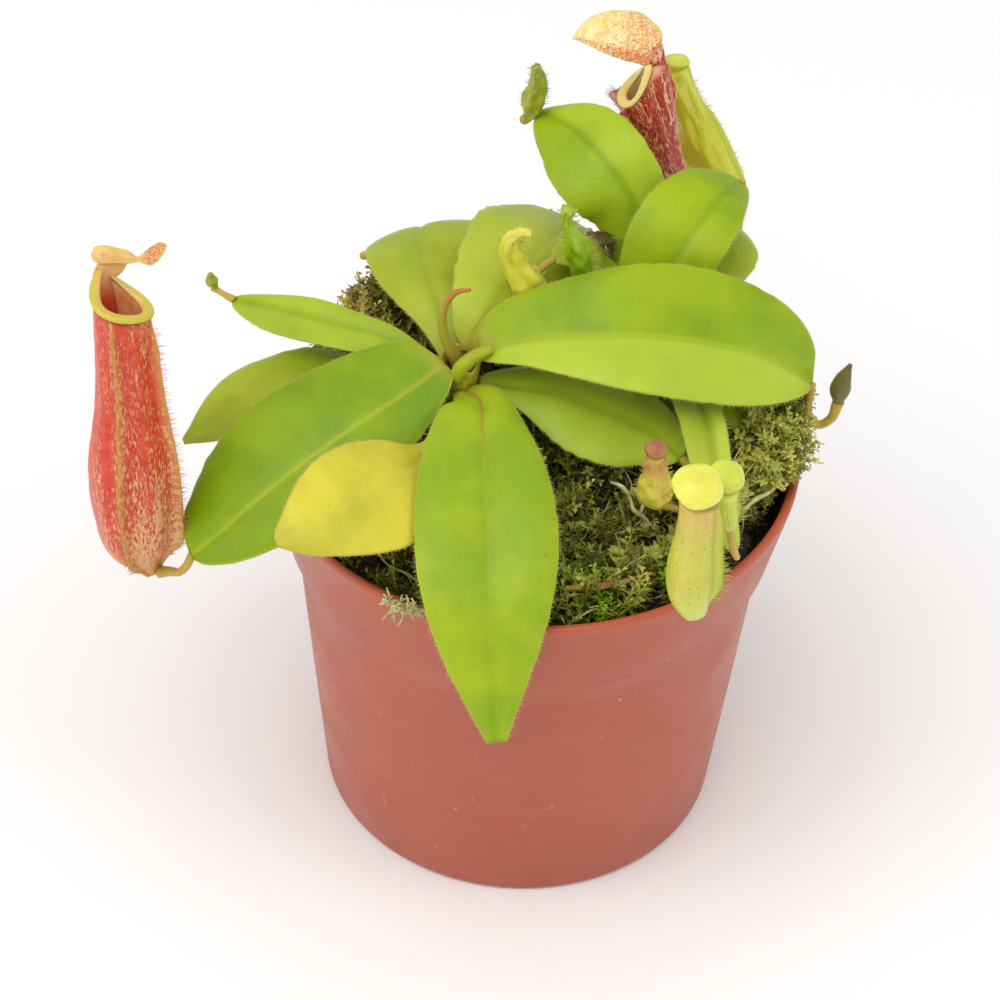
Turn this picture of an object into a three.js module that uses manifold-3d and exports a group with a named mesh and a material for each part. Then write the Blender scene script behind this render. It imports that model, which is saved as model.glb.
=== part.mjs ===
// A young tropical pitcher plant in a round plastic nursery pot, in millimetres, +Z up.
// The origin is the centre of the pot's underside. Two rosettes grow from a mossy peat plug. Each
// strap-shaped leaf runs out into a tendril, and some tendrils carry a pitcher or a pitcher bud.
import * as THREE from "three";
import { mergeVertices } from "three/addons/utils/BufferGeometryUtils.js";
import Module from "manifold-3d";

const wasm = await Module();
wasm.setup();

// Driving dimensions of the pot.
const POT_HEIGHT = 74;
const RIM_RADIUS = 45;
const COLLAR_LOW_RADIUS = 41.4; // the collar's lower edge, which overhangs the body
const COLLAR_LOW_Z = 57.5;
const BODY_TOP_RADIUS = 40;
const BASE_RADIUS = 34.5;
const WALL = 1.2;
const LIP = 1.8; // width of the flat top of the rim
const FLOOR_LOW_Z = 1.2;
const FLOOR_TOP_Z = 2.8;
const FOOT_WIDTH = 3;
const HUB_RADIUS = 7; // flat pad in the middle of the underside
const POT_SIDES = 44;
const DRAIN_COUNT = 6;
const DRAIN_RADIUS = 3;
const DRAIN_CIRCLE = 20;

// What fills the pot.
const GAP = 0.3; // clearance between pieces that touch
const PEAT_TOP_Z = 66;
const MOSS_RADIUS = 40.5;

// Leaves.
const LEAF_STEPS = 12;
const TENDRIL_STEPS = 7;
const ACROSS = [-1, -0.62, -0.25, 0, 0.25, 0.62, 1];
const ACROSS_PLAIN = [-1, -0.5, 0, 0.5, 1];
const BLADE = 0.7; // thickness of a blade between its ribs
const RIB = 1.5; // thickness over the midrib

// The two short stems, each an upright axis.
const STEMS = {
  front: { x: -12.5, y: 1, radius: 2.4, low: 60, high: 93 },
  back: { x: 16, y: 21, radius: 2.2, low: 60, high: 89.5 },
};

const COLOURS = {
  pot: [0xa8543a, 0.5],
  peat: [0x2c2119, 0.95],
  moss: [0x8f8c3c, 0.95],
  stem: [0x8a8a35, 0.6],
  leaf: [0x86b023, 0.45],
  oldLeaf: [0xd3c94a, 0.5],
  shadedLeaf: [0x8fa845, 0.5],
  shoot: [0xc98345, 0.5],
  redPitcher: [0xb8382b, 0.4],
  palePitcher: [0xcfd052, 0.4],
  greenPitcher: [0xa5b93a, 0.45],
  brownPitcher: [0x8b6a3a, 0.6],
  lip: [0xd2c94e, 0.3],
  lid: [0xe6cf78, 0.45],
};

const vec = (p) => new THREE.Vector3(...p);
const rad = THREE.MathUtils.degToRad;
const lerp = THREE.MathUtils.lerp;
const clamp = THREE.MathUtils.clamp;

// Value of an evenly spaced list at t from 0 to 1, with smooth steps between its entries.
function profile(list, t) {
  const place = clamp(t, 0, 1) * (list.length - 1);
  const low = Math.min(Math.floor(place), list.length - 2);
  const share = place - low;
  const before = list[Math.max(low - 1, 0)];
  const after = list[Math.min(low + 2, list.length - 1)];
  const a = list[low];
  const b = list[low + 1];
  const bend = share * (2 * before - 5 * a + 4 * b - after + share * (3 * (a - b) + after - before));
  const value = a + 0.5 * share * (b - before + bend);
  return Math.max(value, Math.min(a, b) * 0.9);
}

// A closed body through a row of loops that all have the same number of points.
function skin(loops) {
  const count = loops[0].length;
  const points = [];
  const faces = [];
  loops.forEach((loop) => loop.forEach((p) => points.push(p.x, p.y, p.z)));
  for (let row = 0; row + 1 < loops.length; row++)
    for (let i = 0; i < count; i++) {
      const a = row * count + i;
      const b = row * count + ((i + 1) % count);
      faces.push(a, b, a + count, b, b + count, a + count);
    }
  const cap = (row, flip) => {
    const centre = loops[row].reduce((sum, p) => sum.add(p), new THREE.Vector3());
    centre.divideScalar(count);
    const tip = points.length / 3;
    points.push(centre.x, centre.y, centre.z);
    for (let i = 0; i < count; i++) {
      const a = row * count + i;
      const b = row * count + ((i + 1) % count);
      faces.push(...(flip ? [b, a, tip] : [a, b, tip]));
    }
  };
  cap(0, true);
  cap(loops.length - 1, false);
  const geometry = new THREE.BufferGeometry();
  geometry.setAttribute("position", new THREE.Float32BufferAttribute(points, 3));
  geometry.setIndex(faces);
  return outward(geometry);
}

// Turns the faces round where the body came out inside out.
function outward(geometry) {
  const p = geometry.attributes.position;
  const index = geometry.index.array;
  const [a, b, c] = [new THREE.Vector3(), new THREE.Vector3(), new THREE.Vector3()];
  let volume = 0;
  for (let i = 0; i < index.length; i += 3) {
    a.fromBufferAttribute(p, index[i]);
    b.fromBufferAttribute(p, index[i + 1]);
    c.fromBufferAttribute(p, index[i + 2]);
    volume += a.dot(b.cross(c));
  }
  if (volume < 0)
    for (let i = 0; i < index.length; i += 3) [index[i], index[i + 1]] = [index[i + 1], index[i]];
  return geometry;
}

// A geometry as a solid for joining and cutting, and a solid back as a geometry.
function solid(geometry) {
  const bare = geometry.clone();
  bare.deleteAttribute("normal");
  bare.deleteAttribute("uv");
  const merged = mergeVertices(bare, 1e-4);
  return new wasm.Manifold(
    new wasm.Mesh({
      numProp: 3,
      vertProperties: new Float32Array(merged.attributes.position.array),
      triVerts: new Uint32Array(merged.index.array),
    }),
  );
}
function geometryOf(body) {
  const mesh = body.getMesh();
  const geometry = new THREE.BufferGeometry();
  geometry.setAttribute("position", new THREE.BufferAttribute(new Float32Array(mesh.vertProperties), 3));
  geometry.setIndex(new THREE.BufferAttribute(new Uint32Array(mesh.triVerts), 1));
  return geometry;
}
function join(bodies) {
  return bodies.reduce((all, body) => all.add(body));
}

// Two directions square to a line at each of its points, carried along it without twisting.
function frames(curve, steps, firstUp) {
  const rows = [];
  let up = firstUp.clone();
  for (let i = 0; i <= steps; i++) {
    const t = i / steps;
    const along = curve.getTangentAt(t);
    up.addScaledVector(along, -up.dot(along)).normalize();
    rows.push({ t, at: curve.getPointAt(t), along, up: up.clone(), side: along.clone().cross(up) });
    up = up.clone();
  }
  return rows;
}
const smooth = (points) => new THREE.CatmullRomCurve3(points.map(vec), false, "centripetal");

// A round rod along a smooth line. radii is a list spread evenly from its start to its end, and
// the sides that finned names stand out as low ridges, whose height is the list fin.
function rod(points, radii, sides, steps, grow = 0, finned = [], fin = [0, 0]) {
  const loops = frames(smooth(points), steps, new THREE.Vector3(0.3, 0.2, 1)).map((f) => {
    const round = profile(radii, f.t) + grow;
    return Array.from({ length: sides }, (_, i) => {
      const turn = (2 * Math.PI * i) / sides;
      const r = round + (finned.includes(i) ? profile(fin, f.t) : 0);
      return f.at
        .clone()
        .addScaledVector(f.side, r * Math.cos(turn))
        .addScaledVector(f.up, r * Math.sin(turn));
    });
  });
  return skin(loops);
}

// Width of one side of a leaf at t, from its clasping base to its tip. side is its greatest width,
// its fold upwards, and how blunt it ends at the base and at the tip.
function sideWidth(leaf, side, t) {
  const [base, tip] = leaf.ends ?? [1.9, 0.8];
  const ends = lerp(base, tip, t);
  const [widest, , bluntBase, bluntTip] = side;
  const swell = Math.sin(Math.PI * Math.pow(t, Math.log(0.5) / Math.log(leaf.widest ?? 0.55)));
  return ends + (widest - ends) * Math.pow(Math.max(swell, 0), lerp(bluntBase, bluntTip, t));
}

// A leaf: a folded, arched blade along its midrib, which runs on into a tendril where it has one.
// rib lists the midrib's points outside the stem, and face0 and face1 are the way that the upper
// side looks at the base and at the tip. Left and right are as seen from the base, face up.
function leafGeometry(leaf) {
  const stem = STEMS[leaf.stem];
  const reach = stem.radius + GAP + 0.5;
  const bearing = rad(leaf.bearing);
  const foot = [stem.x + reach * Math.cos(bearing), stem.y + reach * Math.sin(bearing), leaf.from];
  const midrib = smooth([foot, ...leaf.rib]);
  const face0 = vec(leaf.face0);
  const face1 = vec(leaf.face1 ?? leaf.face0);
  const across = leaf.plain ? ACROSS_PLAIN : ACROSS;
  const steps = leaf.plain ? LEAF_STEPS - 2 : LEAF_STEPS;
  const [waveSize, waveCount, wavePhase] = leaf.wave ?? [0.3, 2, 0];
  const loops = [];
  let last;
  for (let i = 0; i <= steps; i++) {
    const t = i / steps;
    const at = midrib.getPointAt(t);
    const along = midrib.getTangentAt(t);
    const up = face0.clone().lerp(face1, t);
    up.addScaledVector(along, -up.dot(along)).normalize();
    const right = along.clone().cross(up);
    const point = (s, lift) => {
      const side = s < 0 ? leaf.left : leaf.right;
      const width = sideWidth(leaf, side, t);
      const wave = waveSize * Math.sin(Math.PI * 2 * waveCount * t + wavePhase + (s < 0 ? 1.3 : 0)) * s * s;
      const fold = width * Math.abs(s) * (side[1] - leaf.arch * Math.abs(s));
      const height = fold + wave * Math.min(1, width / 4);
      return at
        .clone()
        .addScaledVector(right, width * s)
        .addScaledVector(up, height + lift);
    };
    const top = across.map((s) => point(s, BLADE / 2));
    const low = [...across].reverse().map((s) => point(s, s === 0 ? BLADE / 2 - RIB : -BLADE / 2));
    loops.push([...top, ...low]);
    last = up;
  }
  if (leaf.tendril) {
    const line = smooth([leaf.rib[leaf.rib.length - 1], ...leaf.tendril]);
    const radii = leaf.cord ?? [0.7, 0.6, 0.6, 0.7];
    const count = across.length;
    const rings = frames(line, TENDRIL_STEPS, last).slice(1);
    for (const f of rings) loops.push(circle(f, profile(radii, f.t), count));
  }
  return skin(loops);
}

// A round section with as many points as a blade's section, in the same order.
function circle(f, r, count) {
  return Array.from({ length: 2 * count }, (_, i) => {
    const turn = Math.PI - (Math.PI * (i + 0.5)) / count;
    return f.at
      .clone()
      .addScaledVector(f.side, r * Math.cos(turn))
      .addScaledVector(f.up, r * Math.sin(turn));
  });
}

// Bearings round a pitcher in degrees from its front, closer together at its two fringed wings.
const ROUND = [0, 18, 33, 41, 49, 68, 95, 122, 151, 180];
const AROUND = [...ROUND, ...ROUND.slice(1, -1).reverse().map((a) => -a)];
const WING_AT = 41;
const CUP_STEPS = 11;

// The axes of a pitcher at v, from 0 at its foot to 1 at its mouth.
function cupFrame(cup, v) {
  const line = cup.line ?? (cup.line = smooth(cup.axis));
  const along = line.getTangentAt(v);
  const front = vec([...cup.front, 0]);
  front.addScaledVector(along, -front.dot(along)).normalize();
  return { at: line.getPointAt(v), along, front, side: along.clone().cross(front) };
}

// A point of a pitcher's wall. inset moves it inwards, and the mouth rises to the neck at the back.
function cupPoint(cup, v, degrees, inset) {
  const f = cupFrame(cup, v);
  const turn = rad(degrees);
  const back = (1 - Math.cos(turn)) / 2;
  const wing = Math.abs(degrees) === WING_AT && inset === 0 ? cup.wing * profile(cup.wingRun, v) : 0;
  const spine = inset === 0 ? cup.spine * Math.pow(back, 8) * Math.pow(v, 3) : 0;
  const r = profile(cup.radii, v) - inset + wing + spine;
  const nip = 1 - cup.nip * back * back * Math.pow(v, 6);
  return f.at
    .clone()
    .addScaledVector(f.front, r * Math.cos(turn))
    .addScaledVector(f.side, r * Math.sin(turn) * nip)
    .addScaledVector(f.along, (cup.rise * Math.pow(back, 1.6) - cup.tilt * Math.sin(turn)) * Math.pow(v, 3));
}

// An open pitcher's wall with its two wings, hollow down to its floor.
function cupGeometry(cup) {
  const loops = [];
  for (let i = 0; i <= CUP_STEPS; i++) {
    const v = i / CUP_STEPS;
    loops.push(AROUND.map((a) => cupPoint(cup, v, a, 0)));
  }
  for (let i = CUP_STEPS; i >= 0; i -= 2) {
    const v = lerp(cup.floor, 1, i / CUP_STEPS);
    const inset = Math.min(cup.wall, profile(cup.radii, v) * 0.5);
    loops.push(AROUND.map((a) => cupPoint(cup, v, a, inset)));
  }
  return skin(loops);
}

// The ribbed collar round the mouth, a rolled ring that stands a little proud of the wall.
function collarGeometry(cup) {
  const steps = 22;
  const sides = 6;
  const points = [];
  const faces = [];
  const mouth = cupFrame(cup, 1);
  for (let i = 0; i < steps; i++) {
    const degrees = (360 * i) / steps;
    const near = cupPoint(cup, 1, degrees, cup.wall / 2);
    const out = near.clone().sub(mouth.at);
    out.addScaledVector(mouth.along, -out.dot(mouth.along)).normalize();
    const back = (1 - Math.cos(rad(degrees))) / 2;
    const wide = cup.collar * (1 - 0.35 * back);
    const high = wide * 0.62;
    near.addScaledVector(mouth.along, high + GAP);
    for (let k = 0; k < sides; k++) {
      const turn = (2 * Math.PI * k) / sides;
      const p = near
        .clone()
        .addScaledVector(out, wide * Math.cos(turn))
        .addScaledVector(mouth.along, high * Math.sin(turn));
      points.push(p.x, p.y, p.z);
      const a = i * sides + k;
      const b = i * sides + ((k + 1) % sides);
      const c = ((i + 1) % steps) * sides + k;
      const d = ((i + 1) % steps) * sides + ((k + 1) % sides);
      faces.push(a, c, b, b, c, d);
    }
  }
  const geometry = new THREE.BufferGeometry();
  geometry.setAttribute("position", new THREE.Float32BufferAttribute(points, 3));
  geometry.setIndex(faces);
  return outward(geometry);
}

// A pitcher's lid: a heart-shaped leafy cap along its keel, whose two lobes lift by their folds.
function lidGeometry(lid) {
  const keel = smooth(lid.rib);
  const steps = 9;
  const loops = [];
  for (let i = 0; i <= steps; i++) {
    const t = i / steps;
    const along = keel.getTangentAt(t);
    const up = vec(lid.face);
    up.addScaledVector(along, -up.dot(along)).normalize();
    const right = along.clone().cross(up);
    const swell = Math.pow(Math.sin(Math.PI * Math.pow(t, 0.8)), 0.6);
    const point = (s, lift) => {
      const [half, fold] = s < 0 ? lid.left : lid.right;
      const width = lerp(0.8, half, swell) * Math.abs(s);
      return keel
        .getPointAt(t)
        .addScaledVector(right, width * Math.sign(s))
        .addScaledVector(up, width * (fold - LID_ARCH * Math.abs(s)) + lift);
    };
    const top = ACROSS.map((s) => point(s, 0.35));
    const low = [...ACROSS].reverse().map((s) => point(s, -0.35));
    loops.push([...top, ...low]);
  }
  return skin(loops);
}

// The pot, turned in one piece, with a recessed floor and drain holes.
function potBody() {
  const outline = [
    [0, 0],
    [HUB_RADIUS, 0],
    [HUB_RADIUS + 1, FLOOR_LOW_Z],
    [BASE_RADIUS - FOOT_WIDTH - 1, FLOOR_LOW_Z],
    [BASE_RADIUS - FOOT_WIDTH, 0],
    [BASE_RADIUS - 0.8, 0],
    [BASE_RADIUS, 1],
    [BODY_TOP_RADIUS, COLLAR_LOW_Z - 0.2],
    [COLLAR_LOW_RADIUS - 0.2, COLLAR_LOW_Z],
    [COLLAR_LOW_RADIUS + 0.1, COLLAR_LOW_Z + 0.5],
    [RIM_RADIUS - 0.1, POT_HEIGHT - 0.8],
    [RIM_RADIUS - 0.5, POT_HEIGHT],
    [RIM_RADIUS - LIP, POT_HEIGHT],
    [RIM_RADIUS - LIP - 0.2, POT_HEIGHT - 1.2],
    [RIM_RADIUS - LIP - 0.1, POT_HEIGHT - 2.6],
    [COLLAR_LOW_RADIUS - WALL, COLLAR_LOW_Z + 1.4],
    [BODY_TOP_RADIUS - WALL, COLLAR_LOW_Z - 0.8],
    [BASE_RADIUS - WALL + 0.2, FLOOR_TOP_Z + 1],
    [BASE_RADIUS - WALL - 1, FLOOR_TOP_Z],
    [0, FLOOR_TOP_Z],
  ];
  const turned = new THREE.LatheGeometry(
    outline.map(([r, z]) => new THREE.Vector2(r, z)),
    POT_SIDES,
  );
  turned.rotateX(Math.PI / 2);
  let pot = solid(outward(mergeVertices(stripped(turned), 1e-4)));
  for (let i = 0; i < DRAIN_COUNT; i++) {
    const drill = new THREE.CylinderGeometry(DRAIN_RADIUS, DRAIN_RADIUS, 8, 8);
    drill.rotateX(Math.PI / 2);
    const turn = (2 * Math.PI * (i + 0.5)) / DRAIN_COUNT;
    drill.translate(DRAIN_CIRCLE * Math.cos(turn), DRAIN_CIRCLE * Math.sin(turn), FLOOR_TOP_Z - 1);
    pot = pot.subtract(solid(drill));
  }
  return pot;
}
function stripped(geometry) {
  geometry.deleteAttribute("normal");
  geometry.deleteAttribute("uv");
  return geometry;
}

// A short stem and its root crown. grow makes the larger body that leaves room for it.
const ROOT_COUNT = 4;
function stemBody(stem, grow) {
  const trunk = rod(
    [
      [stem.x, stem.y, stem.low],
      [stem.x, stem.y, (stem.low + stem.high) / 2],
      [stem.x, stem.y, stem.high],
    ],
    [stem.radius * 0.8, stem.radius, stem.radius * 0.98],
    10,
    4,
    grow,
  );
  const bodies = [solid(trunk)];
  for (let i = 0; i < ROOT_COUNT; i++) {
    const turn = (2 * Math.PI * (i + 0.3)) / ROOT_COUNT;
    const out = (reach, z) => [stem.x + reach * Math.cos(turn), stem.y + reach * Math.sin(turn), z];
    const points = [[0.4, 2], [3, -3], [6, -14], [7.5, -26]].map(([far, rise]) => out(far, stem.low + rise));
    bodies.push(solid(rod(points, [0.95, 0.8, 0.6, 0.3], 5, 4, grow)));
  }
  return join(bodies);
}

// Height of the moss: low near the front of the rim, in mounds at the back left and the right.
function mossTop(x, y) {
  const mound = (cx, cy, size, spread) => size * Math.exp(-((x - cx) ** 2 + (y - cy) ** 2) / spread ** 2);
  const lumps =
    0.9 * Math.sin(0.42 * x + 0.9) * Math.cos(0.38 * y) +
    0.6 * Math.sin(0.83 * x - 0.6 * y) +
    0.5 * Math.cos(0.9 * y + 0.35 * x + 2);
  return (
    72.2 + mound(-30, 30, 10, 13) + mound(41, 4, 8, 10) + mound(-3, 6, 3, 16) + mound(16, 24, 3, 9) +
    mound(-35, -22, 1.5, 10) + lumps
  );
}

// The moss cushion: a lumpy bed with a ragged edge.
function mossBody() {
  const rings = 8;
  const sides = 36;
  const points = [[0, 0, mossTop(0, 0)]];
  const edge = (turn) => MOSS_RADIUS + 0.9 * Math.sin(7 * turn) + 0.7 * Math.sin(11 * turn + 1) - 0.4;
  for (let ring = 1; ring <= rings; ring++)
    for (let i = 0; i < sides; i++) {
      const turn = (2 * Math.PI * (i + 0.5 * (ring % 2))) / sides;
      const r = (edge(turn) * ring) / rings;
      const x = r * Math.cos(turn);
      const y = r * Math.sin(turn);
      const fall = ring === rings ? 3.2 : 0;
      points.push([x, y, Math.max(mossTop(x, y) - fall, PEAT_TOP_Z + 1.2)]);
    }
  for (let i = 0; i < sides; i++) {
    const turn = (2 * Math.PI * i) / sides;
    const r = MOSS_RADIUS - 3;
    points.push([r * Math.cos(turn), r * Math.sin(turn), PEAT_TOP_Z + GAP]);
  }
  points.push([0, 0, PEAT_TOP_Z + GAP]);
  const at = (ring, i) => 1 + (ring - 1) * sides + (i % sides);
  const faces = [];
  for (let i = 0; i < sides; i++) faces.push(0, at(1, i), at(1, i + 1));
  for (let ring = 1; ring <= rings; ring++)
    for (let i = 0; i < sides; i++) {
      const shift = ring % 2 && ring < rings ? 1 : 0;
      const [a, b] = [at(ring, i), at(ring, i + 1)];
      const [c, d] = [at(ring + 1, i), at(ring + 1, i + 1)];
      if (shift) faces.push(a, c, d, a, d, b);
      else faces.push(a, c, b, b, c, d);
    }
  const centre = points.length - 1;
  for (let i = 0; i < sides; i++) faces.push(at(rings + 1, i), centre, at(rings + 1, i + 1));
  const geometry = new THREE.BufferGeometry();
  geometry.setAttribute("position", new THREE.Float32BufferAttribute(points.flat(), 3));
  geometry.setIndex(faces);
  return solid(outward(geometry));
}

// The peat plug: the inside of the pot, less a little clearance.
function peatBody() {
  const outline = [
    [0, FLOOR_TOP_Z + GAP],
    [BASE_RADIUS - WALL - 1.4, FLOOR_TOP_Z + GAP],
    [BASE_RADIUS - WALL - 0.2, FLOOR_TOP_Z + 1.4],
    [BODY_TOP_RADIUS - WALL - 0.4, COLLAR_LOW_Z - 0.8],
    [COLLAR_LOW_RADIUS - WALL - 0.4, COLLAR_LOW_Z + 1.4],
    [COLLAR_LOW_RADIUS - WALL + 0.6, PEAT_TOP_Z - 1.5],
    [COLLAR_LOW_RADIUS - WALL - 0.8, PEAT_TOP_Z],
    [0, PEAT_TOP_Z],
  ];
  const turned = new THREE.LatheGeometry(
    outline.map(([r, z]) => new THREE.Vector2(r, z)),
    28,
  );
  turned.rotateX(Math.PI / 2);
  return solid(outward(mergeVertices(stripped(turned), 1e-4)));
}

// The leaves, named for where they lie as the pot is seen from its front.
const LEAVES = [
  {
    name: "leaf_right_large", stem: "front", bearing: 6, from: 92.3, colour: "leaf",
    rib: [[-1.5, 1, 95.5], [11.5, 0.5, 97.8], [26.5, 2.5, 95.5], [38.5, 4.5, 90.5], [46, 6.8, 83.6]],
    left: [12.6, 0.3, 0.3, 0.34], right: [11.8, 0.08, 0.7, 0.8], arch: 0.1, widest: 0.58,
    face0: [0, -0.25, 1], face1: [0.2, -0.35, 1],
    tendril: [[45.9, 6.8, 80.8], [46, 6.6, 77.4], [48, 6.6, 74.9], [50, 6.8, 76.4], [50.6, 7, 78.8]],
  },
  {
    name: "leaf_left_large", stem: "front", bearing: 215, from: 91, colour: "leaf",
    rib: [
      [-22.2, -6.7, 88.6], [-30, -12.8, 86.3], [-37.8, -17.7, 82.4], [-45.6, -21.9, 77],
      [-50.1, -23.9, 73], [-55, -25.9, 69],
    ],
    left: [9.4, -0.26, 0.6, 0.6], right: [13.6, 0.3, 0.33, 0.55], arch: 0.1, widest: 0.52,
    face0: [0, 0, 1], face1: [-0.5, -0.35, 1],
    tendril: [[-55.8, -25.6, 66.6], [-57.2, -24.8, 64.2], [-58.9, -23.6, 63.1], [-59.9, -23, 62.4]],
  },
  {
    name: "leaf_front", stem: "front", bearing: 284, from: 86.6, colour: "leaf",
    rib: [
      [-9.2, -6, 87.9], [-8.4, -16, 89.2], [-7, -32, 86], [-6, -44.4, 79], [-5, -51.4, 68.4],
      [-4, -55.5, 59.5],
    ],
    left: [11.2, 0.2, 0.9, 1.1], right: [11.8, 0.34, 0.8, 1.1], arch: 0.24, widest: 0.5, ends: [2.2, 1.7],
    face0: [0, -0.15, 1], face1: [0.05, -1, 0.7],
  },
  {
    name: "leaf_yellow", stem: "front", bearing: 255, from: 83.4, colour: "oldLeaf",
    rib: [
      [-14.8, -9.6, 84], [-16.2, -16.4, 85.6], [-20.8, -24.4, 88], [-26.6, -31.4, 89.2],
      [-34.7, -38, 88.2], [-39.9, -40.5, 86.8],
    ],
    left: [9.8, -0.3, 2.2, 0.8], right: [9.9, 0.34, 1.8, 0.6], arch: 0.12, widest: 0.64, ends: [1.3, 0.7],
    face0: [-0.2, 0, 1], face1: [0, -0.2, 1], wave: [0.5, 2.4, 1],
  },
  {
    name: "leaf_right_low", stem: "front", bearing: 350, from: 86, colour: "leaf",
    rib: [[2.5, -1.5, 86.3], [11, -3.5, 84.8], [19, -5.5, 82.2], [24.4, -8.6, 79.6]],
    left: [9, 0.1, 0.6, 0.7], right: [9.6, 0.02, 1.4, 0.7], arch: 0.2, widest: 0.58,
    face0: [0, -0.1, 1], face1: [0.3, -0.3, 1],
    tendril: [[26.8, -11.6, 77.6], [27.6, -16, 77.4], [25.4, -19.8, 78.2], [21.5, -21.2, 80.5]],
    cord: [0.7, 0.6, 0.5, 0.5],
  },
  {
    name: "leaf_back_left", stem: "front", bearing: 118, from: 88.4, colour: "shadedLeaf",
    rib: [[-16.2, 11, 92.6], [-19.4, 21, 94.2], [-20.6, 33, 92.2], [-20.6, 41.4, 85]],
    left: [9.8, 0.1, 0.7, 0.5], right: [9.8, 0.1, 0.7, 0.5], arch: 0.2, widest: 0.64,
    face0: [0, -0.3, 1], face1: [-0.35, 0.6, 1],
    tendril: [[-22, 45, 80.6], [-25, 46.6, 77.4], [-28.6, 44, 77], [-30.4, 41, 79.4]],
    cord: [0.7, 0.6, 0.5, 0.5],
  },
  {
    name: "leaf_back_middle", stem: "front", bearing: 52, from: 90.4, colour: "shadedLeaf",
    rib: [[-8.6, 6.8, 94.6], [-4.4, 15.4, 97], [1.4, 27, 96], [5.6, 36, 92], [8.2, 40.4, 87.4]],
    left: [12.4, 0.3, 0.5, 0.5], right: [5.4, -0.1, 0.9, 0.6], arch: 0.14, widest: 0.6,
    face0: [0, -0.25, 1], face1: [0, 0.3, 1],
    tendril: [[8.4, 43.6, 83], [7, 46, 79.4], [4.4, 46.6, 78.6], [2.6, 46.4, 80.6]],
    cord: [0.7, 0.6, 0.5, 0.6],
  },
  {
    name: "leaf_left_upper", stem: "front", bearing: 168, from: 86.4, colour: "leaf", plain: true,
    rib: [[-24.5, 6.4, 89.6], [-33, 8.8, 90.4], [-41.5, 12.5, 89.6], [-51.4, 18.6, 86.6]],
    left: [5.4, 0.2, 0.8, 0.7], right: [3.6, 0.1, 1.4, 0.7], arch: 0.1, widest: 0.58,
    face0: [0, -0.3, 1], face1: [-0.1, -0.3, 1],
    tendril: [[-53.2, 19.8, 86.7], [-54.3, 20.4, 87]], cord: [0.7, 0.55, 0.45, 0.45],
  },
  {
    name: "leaf_left_lower", stem: "front", bearing: 188, from: 82.6, colour: "shadedLeaf",
    rib: [[-27.5, 0.6, 83.4], [-36, -0.6, 83.8], [-45.4, -2.6, 82.6], [-53.5, -5.4, 79.4], [-58, -6.8, 77]],
    left: [7.4, 0.05, 0.6, 1.1], right: [9.8, 0.1, 0.7, 1.5], arch: 0.14, widest: 0.58, ends: [1.9, 0.6],
    face0: [0, -0.1, 1], face1: [-0.2, -0.1, 1], wave: [0.6, 2.2, 2],
  },
  {
    name: "leaf_back_narrow", stem: "front", bearing: 92, from: 84.4, colour: "leaf", plain: true,
    rib: [[-12.6, 12, 86.4], [-12, 22, 86.6], [-11, 31, 84.4]],
    left: [3.6, 0.25, 0.8, 0.8], right: [3.6, 0.25, 0.8, 0.8], arch: 0.1, widest: 0.52,
    face0: [0, -0.2, 1],
    tendril: [[-10.2, 34.4, 83], [-9.8, 36.4, 83.6], [-9.8, 37, 85.8]], cord: [0.6, 0.5, 0.5, 0.6],
  },
  {
    name: "leaf_tall", stem: "back", bearing: 95, from: 87.6, colour: "leaf",
    rib: [[17, 26.6, 95], [15.2, 29.4, 102.4], [10.5, 32.6, 107.8], [5.2, 39.4, 109.4], [-1.4, 46.6, 107.8]],
    left: [9.4, 0.16, 0.9, 0.7], right: [7.4, 0, 0.9, 0.9], arch: 0.14, widest: 0.6, ends: [1.2, 0.8],
    face0: [-0.3, -1, 0.45], face1: [-0.2, -0.6, 1],
    tendril: [[-2.6, 47.4, 106.2], [-3.4, 47.4, 105.6], [-3.6, 46.6, 106.2]], cord: [0.65, 0.5, 0.5, 0.6],
  },
  {
    name: "leaf_upper_right", stem: "back", bearing: 292, from: 86.8, colour: "leaf",
    rib: [[18.9, 17.2, 90], [21, 18, 96.6], [24.8, 21.6, 102.4], [29.2, 28.4, 104.8], [33.4, 36.4, 102.6]],
    left: [9.8, 0.12, 0.8, 0.6], right: [6.4, 0.1, 0.8, 0.6], arch: 0.14, widest: 0.5, ends: [1.2, 0.8],
    face0: [0.1, -1, 0.7], face1: [0.1, -0.4, 1],
    tendril: [
      [34, 41, 98.6], [34.6, 47, 90.4], [34.8, 50.4, 82], [34.6, 53, 75.6], [33, 55.6, 75.2],
      [32.5, 56.4, 77.1],
    ],
    cord: [0.7, 0.55, 0.55, 0.55, 0.6],
  },
  {
    name: "leaf_right_back", stem: "back", bearing: 32, from: 81.6, colour: "shadedLeaf", plain: true,
    rib: [[22.4, 28, 87.4], [27.4, 34, 89], [31, 39.4, 87.6], [33, 43, 84]],
    left: [4.6, 0.1, 0.8, 0.6], right: [8, 0.1, 0.5, 0.6], arch: 0.16, widest: 0.6,
    face0: [0.1, -0.1, 1], face1: [0.2, 0, 1],
  },
  {
    name: "leaf_folded", stem: "back", bearing: 290, from: 83.4, colour: "shadedLeaf",
    rib: [
      [20.4, 10.6, 86.4], [25.8, 0, 87], [28.2, -7.8, 86.2], [29.4, -14.4, 84.3], [31, -22.3, 81],
      [32.6, -28.8, 78.2],
    ],
    left: [2.9, 0.2, 1.8, 0.5], right: [4.8, 0.5, 0.9, 0.9], arch: 0.06, widest: 0.54,
    face0: [0.1, -0.1, 1], face1: [-0.1, -0.4, 1],
    tendril: [[33, -31.2, 79.2], [32.6, -33.6, 82], [31.6, -36.4, 87], [30.9, -37.5, 91.1]],
    cord: [0.6, 0.5, 0.5, 0.5],
  },
  {
    name: "leaf_right_hidden", stem: "back", bearing: 332, from: 80.8, colour: "shadedLeaf", plain: true,
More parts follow.
